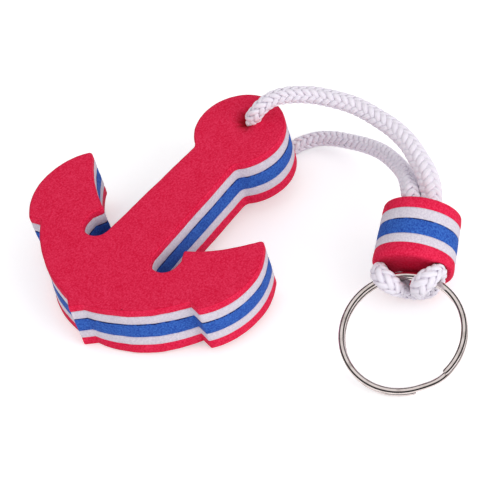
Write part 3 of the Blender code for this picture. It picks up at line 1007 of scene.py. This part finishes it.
def rounded(points: list[Flat], corners: dict[int, float], steps: int = 9) -> list[Flat]:
    """The outline with a round stretch in place of each corner named by its index.

    Args:
        points: The outline, close points along it.
        corners: Radius of each rounded corner by its index.
        steps: Points along each round stretch.

    Returns:
        The outline with its corners rounded.
    """
    look = 0.2 * MM
    out: list[Flat] = []
    after = 0
    for corner, radius in sorted(corners.items()):
        _, back, _ = walked(points[corner::-1], look)
        _, ahead, _ = walked(points[corner:], look)
        half = math.acos(max(-1.0, min(1.0, float(back @ ahead)))) / 2
        reach = radius / math.tan(half)
        first, back, skipped = walked(points[corner::-1], reach)
        last, ahead, kept = walked(points[corner:], reach)
        handle = reach * 4 / 3 * math.tan((math.pi - 2 * half) / 4) / math.tan((math.pi - 2 * half) / 2)
        out += points[after : corner - skipped + 1]
        for t in np.linspace(0, 1, steps):
            ends = (1 - t) ** 3 * first + t**3 * last
            near, far = first - back * handle, last - ahead * handle
            out.append(tuple(ends + (3 * t * (1 - t) ** 2 * near + 3 * t * t * (1 - t) * far)))
        after = corner + kept
    return out + points[after:]


@dataclass(frozen=True)
class AnchorOutline:
    """The anchor's outline, its crown's point at the origin and its shank along +Y."""

    head_radius: float = 11.25 * MM
    head_y: float = 62.65 * MM
    neck_half: float = 6.15 * MM
    foot_half: float = 7.4 * MM
    slot_radius: float = 3.6 * MM
    slot_y: float = 22.4 * MM
    slot_rise: float = 1.6 * MM
    inner_barb: Flat = (13.0 * MM, 26.8 * MM)
    tip: Flat = (27.6 * MM, 38.9 * MM)
    outer_barb: Flat = (27.3 * MM, 15.1 * MM)
    notch: Flat = (24.2 * MM, 15.9 * MM)
    nib: Flat = (2.6 * MM, 2.1 * MM)
    crown_bow: float = 2.3 * MM
    fluke_bow: float = 5.3 * MM
    blade_bow: float = -1.1 * MM
    draft: float = 0.22 * MM
    corner: float = 0.6 * MM
    tip_round: float = 1.0 * MM
    neck_round: float = 2.0 * MM
    spacing: float = 0.7 * MM

    def loop(self, below: float, flare: float = 0.0) -> np.ndarray:
        """The closed outline, its flukes slimmer the deeper it lies.

        Args:
            below: How many sheets below the top one.
            flare: How far the crown's edge stands out.

        Returns:
            Its points, one row each, starting at the crown's point, the same count at any depth.
        """
        loop = self._top()
        slim = np.zeros(len(loop))
        draft = self.draft * below
        for start, end, amount in (
            (self.nib, self.notch, -flare),
            (self.outer_barb, self.tip, draft),
            (self.tip, self.inner_barb, draft),
        ):
            a, b = np.array(start), np.array(end)
            first = int(np.argmin(np.linalg.norm(loop - a, axis=1)))
            last = int(np.argmin(np.linalg.norm(loop - b, axis=1)))
            share = np.clip((loop[first:last] - a) @ (b - a) / ((b - a) @ (b - a)), 0, 1)
            slim[first:last] = amount * 4 * share * (1 - share)
        slim += np.roll(slim[::-1], 1)
        return inset(loop, slim)

    def _top(self) -> np.ndarray:
        """The top sheet's closed outline at even spacing."""
        slot = (self.foot_half + self.slot_radius, self.slot_y)
        wall = (slot[0] + self.slot_radius, self.slot_y + self.slot_rise)
        neck = (self.neck_half, self.head_y - math.sqrt(self.head_radius**2 - self.neck_half**2))
        crown = bowed(self.nib, self.notch, self.crown_bow)
        fluke = bowed(self.outer_barb, self.tip, self.fluke_bow)
        blade = bowed(self.tip, self.inner_barb, self.blade_bow)
        throat = [wall] + arc(slot, self.slot_radius, 0.0, -math.pi)
        shoulder = math.atan2(neck[1] - self.head_y, neck[0])
        head = arc((0, self.head_y), self.head_radius, shoulder, math.pi / 2)
        half = crown + fluke + blade[1:] + throat + head[:-1]
        at_barb = len(crown)
        at_tip = at_barb + len(fluke) - 1
        at_inner = at_tip + len(blade) - 1
        at_neck = at_inner + len(throat) + 1
        radii = {at_barb: self.corner, at_tip: self.tip_round, at_inner: self.corner, at_neck: self.neck_round}
        half = rounded(half, radii)
        dense = self._even([(0.0, 0.0)] + half + [(0.0, self.head_y + self.head_radius)])
        return np.array(dense[:-1] + [(-x, y) for x, y in reversed(dense[1:])])

    def _even(self, points: list[Flat]) -> list[Flat]:
        """The points with long stretches divided, so that both halves keep the same count."""
        out = [points[0]]
        for a, b in zip(points, points[1:]):
            length = math.dist(a, b)
            count = max(1, round(length / self.spacing))
            across, up = (b[0] - a[0]) / count, (b[1] - a[1]) / count
            out += [(a[0] + across * i, a[1] + up * i) for i in range(1, count + 1)]
        return out


def inset(loop: np.ndarray, distance: float | np.ndarray) -> np.ndarray:
    """The counter-clockwise closed loop moved inwards, all of it or each point by its own distance.

    Args:
        loop: Its points, one row each.
        distance: How far inwards, one value or one a point.

    Returns:
        The moved points.
    """
    before, after = np.roll(loop, 1, axis=0), np.roll(loop, -1, axis=0)
    first, second = loop - before, after - loop
    first /= np.linalg.norm(first, axis=1)[:, None]
    second /= np.linalg.norm(second, axis=1)[:, None]
    inward = np.stack([-(first[:, 1] + second[:, 1]), first[:, 0] + second[:, 0]], axis=1)
    length = np.linalg.norm(inward, axis=1)
    inward /= length[:, None]
    return loop + inward * (distance / np.maximum(length / 2, 0.75))[:, None]


@dataclass
class FoamAnchor:
    """Five sheets of foam glued together and cut to the anchor's outline."""

    route: CordRoute
    outline: AnchorOutline = AnchorOutline()
    names: tuple[str, ...] = ("bottom_red", "lower_white", "middle_blue", "upper_white", "top_red")
    levels: tuple[float, ...] = (0.0, 3.0 * MM, 5.6 * MM, 10.0 * MM, 12.9 * MM, 15.05 * MM)
    edge: float = 0.42 * MM
    flare: float = 0.9 * MM
    # How much painted shade the rim takes where the top face rolls over its edge.
    rolled_rim_shade: float = 0.4
    hole_radius: float = 2.0 * MM
    hole_points: int = 40
    hole_steps: int = 6
    crease_heading: float = math.radians(205)
    dimple_reach: float = 1.9 * MM
    dimple_depth: float = 1.7 * MM
    pleat_height: float = 0.22 * MM
    pleats: tuple[Point, ...] = ((11, 0.8, 0.5), (17, 2.1, 0.4))
    lip_heading: float = math.radians(-40)
    lip: float = 0.55 * MM
    lip_reach: float = 1.3 * MM
    drift: float = 0.09 * MM
    ripple: float = 0.04 * MM
    cord_room: float = 0.2 * MM
    grid: float = 1.3 * MM
    fine_grid: float = 0.4 * MM
    fine_reach: float = 7.6 * MM

    def build(self, finishes: Finishes) -> list[bpy.types.Object]:
        """Builds every sheet on the float.

        Args:
            finishes: The object's finishes.

        Returns:
            The sheets, from the bottom up.
        """
        return laminated("anchor", self.names, self._sheet, finishes)

    def _loop(self, height: float) -> np.ndarray:
        """The outline at a height in the stack."""
        below = (1 - height / STACK.height) * (len(STACK.slots) - 1)
        return self.outline.loop(below, self.flare * max(0.0, 1 - height / self.levels[3]))

    def _sheet(self, name: str, i: int, material: bpy.types.Material) -> bpy.types.Object:
        """One sheet as a closed body, its faces pressed where the cord runs.

        Args:
            name: Its piece's name.
            i: Its number from the bottom.
            material: Its finish.

        Returns:
            The sheet.
        """
        bottom, top = i == 0, i == len(STACK.slots) - 1
        profile = self._profile(self.levels[i], self.levels[i + 1], bottom, top)
        rings = []
        for inwards, height, _, _ in profile:
            loop = inset(self._loop(height), inwards)
            rings.append(np.column_stack([loop, np.full(len(loop), height)]))
        count = len(rings[0])
        rims = [range(r * count, (r + 1) * count) for r in range(len(rings))]
        verts = [p for ring in rings for p in ring]
        faces = [face for a, b in zip(rims, rims[1:]) for face in band(a, b)]
        hole = arc(self.route.hole, self.hole_radius, 0.0, 2 * math.pi, 2 * math.pi / self.hole_points)[:-1]
        ends = []
        for ring, rim, fine in ((rings[0], rims[0], bottom), (rings[-1], rims[-1], top)):
            extra, triangles, hole_at = self._face(ring, hole, fine)
            start = len(verts) - count
            verts += [(x, y, ring[0][2]) for x, y in extra]
            faces += [tuple(rim[v] if v < count else start + v for v in triangle) for triangle in triangles]
            ends.append([start + v for v in hole_at])
        near, far = ends
        levels = [near]
        for k in range(1, self.hole_steps):
            share = k / self.hole_steps
            levels.append(range(len(verts), len(verts) + len(hole)))
            heights = [verts[a][2] * (1 - share) + verts[b][2] * share for a, b in zip(near, far)]
            verts += [(*spot, height) for spot, height in zip(hole, heights)]
        levels.append(far)
        faces += [face for a, b in zip(levels, levels[1:]) for face in band(a, b)]
        local, painted_shade = self._dress(np.array(verts), top)
        world = moved(local, PLACING.anchor_frame())
        if bottom:
            room, reach, most = self.route.diameter / 2 + self.cord_room, 1.0 * MM, STACK.sheet * 0.8
            world[:, 2] += np.minimum(self.route.pressed_out(world, Vector((0, 0, 1)), room, reach), most)
        if top:
            # Painted shade along the rim where the top face rolls over its edge.
            rolled_rim_shade = slice(rims[-2].start, rims[-2].stop)
            painted_shade[rolled_rim_shade] = np.maximum(painted_shade[rolled_rim_shade], self.rolled_rim_shade)
        made = mesh_object(name, world, faces, material, sharp=48)
        walls = np.zeros((len(world), 2))
        walls[: len(rings) * count] = np.repeat([(cut, seam) for _, _, cut, seam in profile], count, axis=0)
        paint(made.data, "painted_shade", painted_shade)
        paint(made.data, "cut", walls[:, 0])
        paint(made.data, "seam", walls[:, 1])
        return made

    def _profile(self, low: float, high: float, bottom: bool, top: bool) -> list[tuple[float, ...]]:
        """The rings up a sheet's side wall.

        Args:
            low: The height of its lower face.
            high: The height of its upper face.
            bottom: Whether it is the lowest sheet.
            top: Whether it is the topmost sheet.

        Returns:
            Inset, height, cut share and seam share of each ring.
        """
        turn = [math.radians(a) for a in (0, 22, 45, 68, 90)]
        edge, nick, belly = self.edge, STACK.nick, -0.03 * MM
        shoulder, pulled = 0.02 * MM, 0.10 * MM
        if bottom:
            out = [(edge * (1 - math.sin(a)), low + edge * (1 - math.cos(a)), math.sin(a), 0.0) for a in turn]
        else:
            out = [(pulled, low, 1.0, 0.0), (shoulder, low + nick, 1.0, 0.0)]
        start, end = out[-1][1], high - (edge if top else nick)
        out += [(belly, start + (end - start) * t, 1.0, 0.0) for t in (0.3, 0.6)]
        if top:
            out += [(edge * (1 - math.cos(a)), high - edge * (1 - math.sin(a)), math.cos(a), 0.0) for a in turn]
        else:
            begins, full = (end - torn for torn in STACK.torn)
            out += [(-0.02 * MM, begins, 1.0, 0.0), (-0.01 * MM, full, 1.0, 1.0)]
            out += [(shoulder, end, 1.0, 1.0), (pulled, high, 1.0, 1.0)]
        return out

    def _face(
        self, ring: np.ndarray, hole: list[Flat], fine: bool
    ) -> tuple[list[Flat], list[tuple[int, ...]], list[int]]:
        """Triangles between a ring and the hole, with points inside where the face is seen.

        Args:
            ring: The face's rim, one row a point.
            hole: The hole's rim.
            fine: Whether the face gets points inside.

        Returns:
            The points added after the ring's, the triangles, and the indices of the hole's points.
        """
        count = len(ring)
        points = [Vector((x, y)) for x, y, _ in ring] + [Vector(p) for p in hole]
        edges = [(i, (i + 1) % count) for i in range(count)]
        edges += [(count + i, count + (i + 1) % len(hole)) for i in range(len(hole))]
        rim = np.array([p[:2] for p in ring])
        if fine:
            points += [Vector(p) for p in self._inside(rim)]
        result = delaunay_2d_cdt([p / MM for p in points], edges, [], 0, 1e-5)
        kept, triangles, origins = [v * MM for v in result[0]], result[2], result[3]
        assert all(origin[:1] == [i] for i, origin in enumerate(origins[: count + len(hole)]))
        corners = np.array(kept)[np.array(triangles)]
        middles = corners.mean(axis=1)
        held = self._within(middles, rim, 0.0) & ~self._within(middles, np.array(hole), 0.0)
        faces = [tuple(triangle) for triangle, hold in zip(triangles, held) if hold]
        extra = [(v.x, v.y) for v in kept[count:]]
        return extra, faces, list(range(count, count + len(hole)))

    def _inside(self, rim: np.ndarray) -> np.ndarray:
        """Points inside the rim: an even grid, finer round the hole.

        Args:
            rim: The face's rim, one row a point.

        Returns:
            The points, one row each.
        """
        low, high = rim.min(axis=0), rim.max(axis=0)
        out = []
        far, near, row = 1.0, self.hole_radius + 0.2 * MM, 0.866
        grids = ((self.grid, self.fine_reach, far), (self.fine_grid, near, self.fine_reach))
        for pitch, inner, outer in grids:
            xs, ys = np.meshgrid(np.arange(low[0], high[0], pitch), np.arange(low[1], high[1], pitch * row))
            xs = xs + (np.arange(len(xs)) % 2)[:, None] * pitch / 2
            spots = np.stack([xs.ravel(), ys.ravel()], axis=1)
            away = np.linalg.norm(spots - np.array(self.route.hole), axis=1)
            out.append(spots[(away > inner) & (away <= outer)])
        spots = np.concatenate(out)
        return spots[self._within(spots, rim, 0.45 * MM)]

    @staticmethod
    def _within(spots: np.ndarray, rim: np.ndarray, margin: float) -> np.ndarray:
        """Which spots lie inside the rim and off it by the margin.

        Args:
            spots: The places asked about.
            rim: A closed outline.
            margin: The least distance from its points.

        Returns:
            True for each spot that does.
        """
        nxt = np.roll(rim, -1, axis=0)
        inside = np.zeros(len(spots), dtype=bool)
        clear = np.ones(len(spots), dtype=bool)
        for a, b in zip(rim, nxt):
            crosses = (a[1] > spots[:, 1]) != (b[1] > spots[:, 1])
            if crosses.any():
                cut = (b[0] - a[0]) * (spots[:, 1] - a[1]) / (b[1] - a[1] + 1e-30) + a[0]
                inside ^= crosses & (spots[:, 0] < cut)
            clear &= np.linalg.norm(spots - a, axis=1) > margin
        return inside & clear

    def _dress(self, local: np.ndarray, top: bool) -> tuple[np.ndarray, np.ndarray]:
        """Draws the foam in round the hole, paints shade into its dimple and into the grooves between its
        pleats, and lets the cut sides wander a little.

        Args:
            local: The sheet's points in the stack's frame.
            top: Whether it is the sheet that the cord leaves by.

        Returns:
            The moved points, and how much painted shade each takes.
        """
        offset = local[:, :2] - np.array(self.route.hole)
        away = np.linalg.norm(offset, axis=1)
        painted_shade = np.zeros(len(local))
        if top:
            heading = np.arctan2(offset[:, 1], offset[:, 0])
            beyond = np.maximum(away - self.hole_radius, 0.0)
            rise = np.clip((local[:, 2] - self.levels[-2]) / (self.levels[-1] - self.levels[-2]), 0, 1)
            least, sharpness = 0.06, 1.6
            lean = least + (1 - least) * (0.5 + 0.5 * np.cos(heading - self.crease_heading)) ** sharpness
            dimple = np.exp(-((beyond / self.dimple_reach) ** 1.5)) * lean
            pleat = sum(np.cos(count * heading + start) * share for count, start, share in self.pleats)
            crest, slope = 1.0 * MM, 1.4 * MM
            ridge = pleat * np.exp(-(((beyond - crest) / slope) ** 2)) * lean
            front = np.clip(np.cos(heading - self.lip_heading), 0, 1)
            lip = self.lip * front * np.exp(-((beyond / self.lip_reach) ** 2))
            local[:, 2] += rise * (lip + self.pleat_height * ridge - self.dimple_depth * dimple)
            # Painted shade in the dimple and in the grooves between the pleats.
            deepest, clean, groove = 1.4, 0.1, 0.7
            painted_shade = np.clip(dimple * deepest - clean + groove * np.clip(-ridge, 0, 1), 0, 1) * rise
            unevenness = 0.05 * MM
            local[:, 2] += unevenness * rise * wobble(local, 7 * MM, 0.7)
        head_reach, held = 9 * MM, 0.5
        free = np.where(away > head_reach, 1.0, held)
        slow, quick = ((4.2 * MM, 2.0), (3.6 * MM, 5.0)), ((1.1 * MM, 8.0), (1.2 * MM, 3.0))
        for axis, (drift, ripple) in enumerate(zip(slow, quick)):
            shift = wobble(local, *drift) * self.drift + wobble(local, *ripple) * self.ripple
            local[:, axis] += shift * free
        return local, painted_shade


@dataclass
class FoamBead:
    """The bead: five discs of the same foam on both strands."""

    route: CordRoute
    names: tuple[str, ...] = ("front_red", "front_white", "middle_blue", "rear_white", "rear_red")
    levels: tuple[float, ...] = (0.0, 3.2 * MM, 5.5 * MM, 9.35 * MM, 12.1 * MM, 15.05 * MM)
    rear_radius: float = 9.15 * MM
    front_radius: float = 9.55 * MM
    front_edge: float = 1.15 * MM
    rear_edge: float = 0.7 * MM
    bore: float = 2.12 * MM
    mouth: float = 1.62 * MM
    mouth_drop: float = 0.4 * MM
    mouth_lip: float = 0.85 * MM
    mouth_reach: float = 3.3 * MM
    hollow: float = 0.12 * MM
    press_depth: float = 2.2 * MM
    around: int = 144
    end_shares: tuple[float, ...] = (0.85, 0.7, 0.56, 0.43, 0.31, 0.2, 0.1, 0.0)
    inner_shares: tuple[float, ...] = (0.5, 0.0)

    def build(self, finishes: Finishes) -> list[bpy.types.Object]:
        """Builds every disc on the float.

        Args:
            finishes: The object's finishes.

        Returns:
            The discs, from the ring's side back.
        """
        return laminated("bead", self.names, self._disc, finishes)

    def _radius(self, y: float) -> float:
        """The bead's radius at a distance back from its ring-side face."""
        return self.front_radius + (self.rear_radius - self.front_radius) * y / STACK.height

    def _wall(self, start: float, end: float, first: bool, last: bool) -> list[Point]:
        """The rings back along a disc's cut side.

        Args:
            start: How far back the disc begins.
            end: How far back it ends.
            first: Whether it is the disc on the ring's side.
            last: Whether it is the rearmost disc.

        Returns:
            Radius, distance back and seam share of each ring.
        """
        turn = [math.radians(a) for a in (0, 18, 36, 54, 72, 90)]
        near, far, nick, belly = self._radius(start), self._radius(end), STACK.nick, 0.05 * MM
        shoulder, pulled = 0.01 * MM, 0.09 * MM
        if first:
            r = self.front_edge
            wall = [(near - r * (1 - math.sin(a)), start + r * (1 - math.cos(a)), 0.0) for a in turn]
        else:
            wall = [(near - pulled, start, 0.0), (near - shoulder, start + nick, 0.0)]
        begin, stop = wall[-1][1], end - (self.rear_edge if last else nick)
        for y in (begin + (stop - begin) * t for t in (0.3, 0.6)):
            wall.append((self._radius(y) + belly, y, 0.0))
        if last:
            r = self.rear_edge
            wall += [(far - r * (1 - math.cos(a)), end - r * (1 - math.sin(a)), 0.0) for a in turn]
        else:
            begins, full = (stop - torn for torn in STACK.torn)
            wall += [(far + 0.02 * MM, begins, 0.0), (far + 0.01 * MM, full, 1.0)]
            wall += [(far - shoulder, stop, 1.0), (far - pulled, end, 1.0)]
        return wall

    def _disc(self, name: str, i: int, material: bpy.types.Material) -> bpy.types.Object:
        """One disc as a closed body with the bore for both strands.

        Args:
            name: Its piece's name.
            i: Its number from the ring's side.
            material: Its finish.

        Returns:
            The disc.
        """
        first, last = i == 0, i == len(STACK.slots) - 1
        wall = self._wall(self.levels[i], self.levels[i + 1], first, last)
        (front, start, _), (rear, end, _) = wall[0], wall[-1]
        shares = self.end_shares if first or last else self.inner_shares
        angles = np.arange(self.around) * 2 * math.pi / self.around
        unit = np.stack([np.cos(angles), np.sin(angles)], axis=1)
        bore = self._oval(unit, self.bore)
        mouth = self._oval(unit, self.mouth) - np.array((0.0, self.mouth_drop)) if first else bore
        rings = [(mouth * (1 - share) + share * front * unit, start) for share in reversed(shares)]
        rings += [(radius * unit, y) for radius, y, _ in wall]
        rings += [(bore * (1 - share) + share * rear * unit, end) for share in shares]
        verts = np.concatenate([np.column_stack([r[:, 0], np.full(len(r), y), r[:, 1]]) for r, y in rings])
        rims = [range(k * self.around, (k + 1) * self.around) for k in range(len(rings))]
        faces = [face for a, b in zip(rims, rims[1:] + rims[:1]) for face in band(a, b)]
        world, painted_shade = moved(verts, PLACING.bead_frame()), np.zeros(len(verts))
        if first:
            painted_shade = self._press_front(verts, world)
        if last:
            painted_shade = self._press_rear(verts, world, start)
        made = mesh_object(name, world, faces, material, sharp=60)
        flat = [0.0] * len(shares)
        cut, seam = flat + [1.0] * len(wall) + flat, flat + [ring[2] for ring in wall] + flat
        paint(made.data, "painted_shade", painted_shade)
        paint(made.data, "cut", np.repeat(cut, self.around))
        paint(made.data, "seam", np.repeat(seam, self.around))
        return made

    def _press_front(self, verts: np.ndarray, world: np.ndarray) -> np.ndarray:
        """Dents the ring-side face under the hitch, with a lip round the bore's mouth, and paints shade into
        the dents and towards the face's middle.

        Args:
            verts: The disc's points along the bead's axes.
            world: The same points where they lie; they are moved.

        Returns:
            How much painted shade each point takes: darker where it is dented and towards the middle of the
                face.
        """
        back = PLACING.bead_frame().col[1].to_3d()
        room, reach, most, darkest, middle_shade = 0.15 * MM, 1.1 * MM, 2.0 * MM, 2.4 * MM, 0.75
        push = self.route.pressed_out(world, back, self.route.diameter / 2 + room, reach)
        front = np.clip(1 - verts[:, 1] / self.press_depth, 0, 1)
        push = np.minimum(push, most) * front
        radial = np.hypot(verts[:, 0], verts[:, 2]) / self.front_radius
        hollow = self.hollow * np.clip(1 - radial**2, 0, 1) * front
        across = np.maximum(np.abs(verts[:, 0]) - self.route.spacing / 2, 0.0)
        lip = self.mouth_lip * np.exp(-((np.hypot(across, verts[:, 2]) / self.mouth_reach) ** 4)) * front
        world += np.outer(np.maximum(push, hollow) * (1 - lip / self.mouth_lip) - lip, back)
        # Painted shade: darker where the cord dents the face and towards its middle.
        return np.clip(push / darkest + middle_shade * (1 - radial), 0, 1) * front

    def _press_rear(self, verts: np.ndarray, world: np.ndarray, start: float) -> np.ndarray:
        """Dents the far face where the strands leave it, and paints shade into the dents.

        Args:
            verts: The disc's points along the bead's axes.
            world: The same points where they lie; they are moved.
            start: How far back the disc begins.

        Returns:
            How far each point is pressed.
        """
        back = PLACING.bead_frame().col[1].to_3d()
        room, reach, most, darkest = 0.1 * MM, 0.9 * MM, 0.7 * MM, 2.0 * MM
        push = self.route.pressed_out(world, -back, self.route.diameter / 2 + room, reach)
        rear = np.clip((verts[:, 1] - start) / STACK.sheet, 0, 1)
        world -= np.outer(np.minimum(push, most) * rear, back)
        # Painted shade where the strands dent the face.
        return np.clip(push / darkest, 0, 1) * rear

    def _oval(self, unit: np.ndarray, radius: float) -> np.ndarray:
        """The rim of an oval round both strands.

        Args:
            unit: The directions in which it is read, one row each.
            radius: The room round each strand's middle.

        Returns:
            Its points, one row each.
        """
        half = self.route.spacing / 2
        c, s = unit.T
        flat = radius / np.maximum(np.abs(s), 1e-9)
        far = half * np.abs(c) + np.sqrt(np.maximum(radius**2 - (half * s) ** 2, 0.0))
        return unit * np.where(np.abs(flat * c) <= half, flat, far)[:, None]


@dataclass
class SplitRing:
    """Two turns of flattened plated wire with a step between them."""

    fullness: float = 2.05
    around: int = 28
    step_start: float = math.radians(-67.0)
    step_end: float = math.radians(-40.0)
    upper_end: float = math.radians(-38.0)
    lower_end: float = math.radians(-69.0)
    pitch: float = math.radians(2.5)
    end_shrink: float = 0.16
    end_round: float = 0.5 * MM

    def build(self, finishes: Finishes) -> bpy.types.Object:
        """Builds the wire on the ring's body.

        Args:
            finishes: The object's finishes.

        Returns:
            The ring.
        """
        start, finish = self.upper_end, self.lower_end + 4 * math.pi
        angles = np.linspace(start, finish, int(round((finish - start) / self.pitch)) + 1)
        share = np.clip((angles - self.step_start - 2 * math.pi) / (self.step_end - self.step_start), 0, 1)
        level = (PLACING.wire_height + PLACING.coil_gap) / 2
        height = level * np.cos(math.pi * share)
        mean = PLACING.ring_radius - PLACING.wire_width / 2
        section, shares = self._section()
        rings = []
        ends = np.minimum(angles - start, finish - angles) * mean
        shrink = 1 - self.end_shrink * np.clip(1 - ends / self.end_round, 0, 1) ** 2
        for across, up in section:
            radius = mean + across * shrink
            spots = (radius * np.cos(angles), radius * np.sin(angles), height + up * shrink)
            rings.append(np.stack(spots, axis=1))
        verts = moved(np.stack(rings, axis=1).reshape(-1, 3), PLACING.ring_frame())
        uvs = np.stack([np.tile(shares, len(angles)), np.repeat(angles * mean, len(section))], axis=1)
        made = mesh_object("ring_wire", verts, tube_faces(len(angles), len(section)), finishes.ring, sharp=60)
        unwrap(made.data, uvs)
        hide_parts("split_ring")
        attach(made, Body.RING.value)
        log.info("ring_wire: %d faces", len(made.data.polygons))
        return made

    def _section(self) -> tuple[list[Flat], np.ndarray]:
        """The wire's crowned section and how far round it each point lies."""
        shares = np.arange(self.around) / self.around
        c, n = np.cos(shares * 2 * math.pi), np.sin(shares * 2 * math.pi)
        x = PLACING.wire_width / 2 * np.sign(c) * np.abs(c) ** (2 / self.fullness)
        y = PLACING.wire_height / 2 * np.sign(n) * np.abs(n) ** (2 / self.fullness)
        return list(zip(x.tolist(), y.tolist())), shares


# Stage


@dataclass(frozen=True)
class Lamp:
    """A wide soft lamp that faces the object and stays out of its reflections."""

    name: str
    place: Point
    size: float
    power: float

    def build(self) -> None:
        """Hangs the lamp."""
        data = bpy.data.lights.new(self.name, "AREA")
        data.shape = "SQUARE"
        data.size = self.size
        data.energy = self.power
        lamp = bpy.data.objects.new(self.name, data)
        bpy.context.scene.collection.objects.link(lamp)
        lamp.location = self.place
        lamp.visible_glossy = False
        lamp.rotation_euler = (-Vector(self.place)).to_track_quat("-Z", "Y").to_euler()


@dataclass(frozen=True)
class Studio:
    """The floor, the lights and the camera at the photograph's angle."""

    right: Point = (0.74860844, 0.64316426, -0.16101286)
    up: Point = (-0.39153108, 0.62482774, 0.67549515)
    back: Point = (0.53505964, -0.44263983, 0.71957012)
    look_at: Point = (-0.01011788, 0.00876115, 0.0)
    distance: float = 0.601813
    lens: float = 180.0
    sensor: float = 36.0
    ambient: float = 0.76
    lamps: tuple[Lamp, ...] = (
        Lamp("overhead", (0.1, 0.3, 0.95), size=0.8, power=0.2),
        Lamp("front_fill", (0.35, -0.85, 0.30), size=0.7, power=1.45),
        Lamp("right_fill", (0.88, 0.1, 0.48), size=0.7, power=4.6),
    )
    floor_colour: Point = (0.86, 0.86, 0.87)
    floor_glow: float = 0.36
    floor_half: float = 3.0
    floor_drop: float = 0.02 * MM
    screen_radius: float = 0.5
    screen_low: float = 0.01
    screen_dark: float = 0.5
    screen_high: float = 1.12
    screen_sides: int = 48

    def build(self) -> None:
        """Builds everything that isn't part of the object."""
        self._camera()
        self._floor()
        self._screen()
        self._world()
        for lamp in self.lamps:
            lamp.build()
        bpy.context.scene.view_settings.view_transform = "Standard"
        log.info("studio: camera %.0f mm", self.lens)

    def _camera(self) -> None:
        """The camera."""
        data = bpy.data.cameras.new("photo_camera")
        data.lens = self.lens
        data.sensor_width = self.sensor
        data.clip_start = 0.01
        made = bpy.data.objects.new("photo_camera", data)
        bpy.context.scene.collection.objects.link(made)
        turn = Matrix((self.right, self.up, self.back)).transposed()
        place = Vector(self.look_at) + self.distance * Vector(self.back)
        made.matrix_world = Matrix.Translation(place) @ turn.to_4x4()
        bpy.context.scene.camera = made

    def _floor(self) -> None:
        """A plain pale floor that keeps the object's shadow."""
        made, graph, shader = blank_material("floor_white")
        graph.fill(shader, {"Base Color": self.floor_colour, "Roughness": 0.9, "Specular IOR Level": 0.0})
        lift = graph.math("MULTIPLY", self._seen(graph), self.floor_glow)
        glow = graph.add("ShaderNodeEmission", {"Strength": lift})
        both = graph.add("ShaderNodeAddShader", {0: shader.outputs[0], 1: glow.outputs[0]})
        graph.fill(graph.tree.nodes["Material Output"], {"Surface": both.outputs[0]})
        half = self.floor_half
        corners = [(-half, -half, 0.0), (half, -half, 0.0), (half, half, 0.0), (-half, half, 0.0)]
        floor = mesh_object("floor", corners, [(0, 1, 2, 3)], made, smooth=False)
        floor.location.z = -self.floor_drop

    @staticmethod
    def _seen(graph: Graph) -> Socket:
        """A socket that is 1 where the camera, a reflection or a refraction sees the surface."""
        path = graph.add("ShaderNodeLightPath").outputs
        direct = graph.math("MAXIMUM", path["Is Camera Ray"], path["Is Glossy Ray"])
        return graph.math("MAXIMUM", direct, path["Is Transmission Ray"])

    def _screen(self) -> None:
        """A screen round the table, dark low down and white high up, for the metal's reflections."""
        count, radius = self.screen_sides, self.screen_radius
        angles = np.arange(count) * 2 * math.pi / count
        rims = (self.screen_low, self.screen_high)
        points = [(radius * math.cos(a), radius * math.sin(a), z) for z in rims for a in angles]
        made, graph, shader = blank_material("screen_fading")
        parts = graph.add("ShaderNodeSeparateXYZ", {"Vector": graph.spot()}).outputs
        limits = {"low": self.screen_dark, "high": self.screen_high, "interpolation_type": "SMOOTHSTEP"}
        fade = graph.between(parts["Z"], **limits)
        tone = graph.add("ShaderNodeCombineColor", dict.fromkeys(("Red", "Green", "Blue"), fade))
        graph.fill(shader, {"Emission Color": tone.outputs["Color"], "Emission Strength": 1.0})
        graph.fill(shader, {"Base Color": (0.01, 0.01, 0.01)})
        faces = band(range(count), range(count, 2 * count))
        screen = mesh_object("screen", points, faces, made, smooth=False)
        for kind in ("camera", "diffuse", "transmission", "volume_scatter", "shadow"):
            setattr(screen, f"visible_{kind}", False)

    def _world(self) -> None:
        """An even world, white where it is seen and a little darker as a light."""
        world = bpy.data.worlds.new("studio_world")
        bpy.context.scene.world = world
        world.use_nodes = True
        graph = Graph(world.node_tree)
        strength = graph.math("MULTIPLY_ADD", self._seen(graph), 1.0 - self.ambient, self.ambient)
        graph.fill(world.node_tree.nodes["Background"], {"Color": (1.0, 1.0, 1.0), "Strength": strength})


def main() -> None:
    """Builds the keychain and its stage."""
    logging.basicConfig(level=logging.INFO, format="%(message)s")
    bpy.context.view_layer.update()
    finishes = Finishes.build()
    Studio().build()
    route = CordRoute()
    BraidedCord(route).build(finishes)
    FoamAnchor(route).build(finishes)
    FoamBead(route).build(finishes)
    SplitRing().build(finishes)


if __name__ == "__main__":
    main()
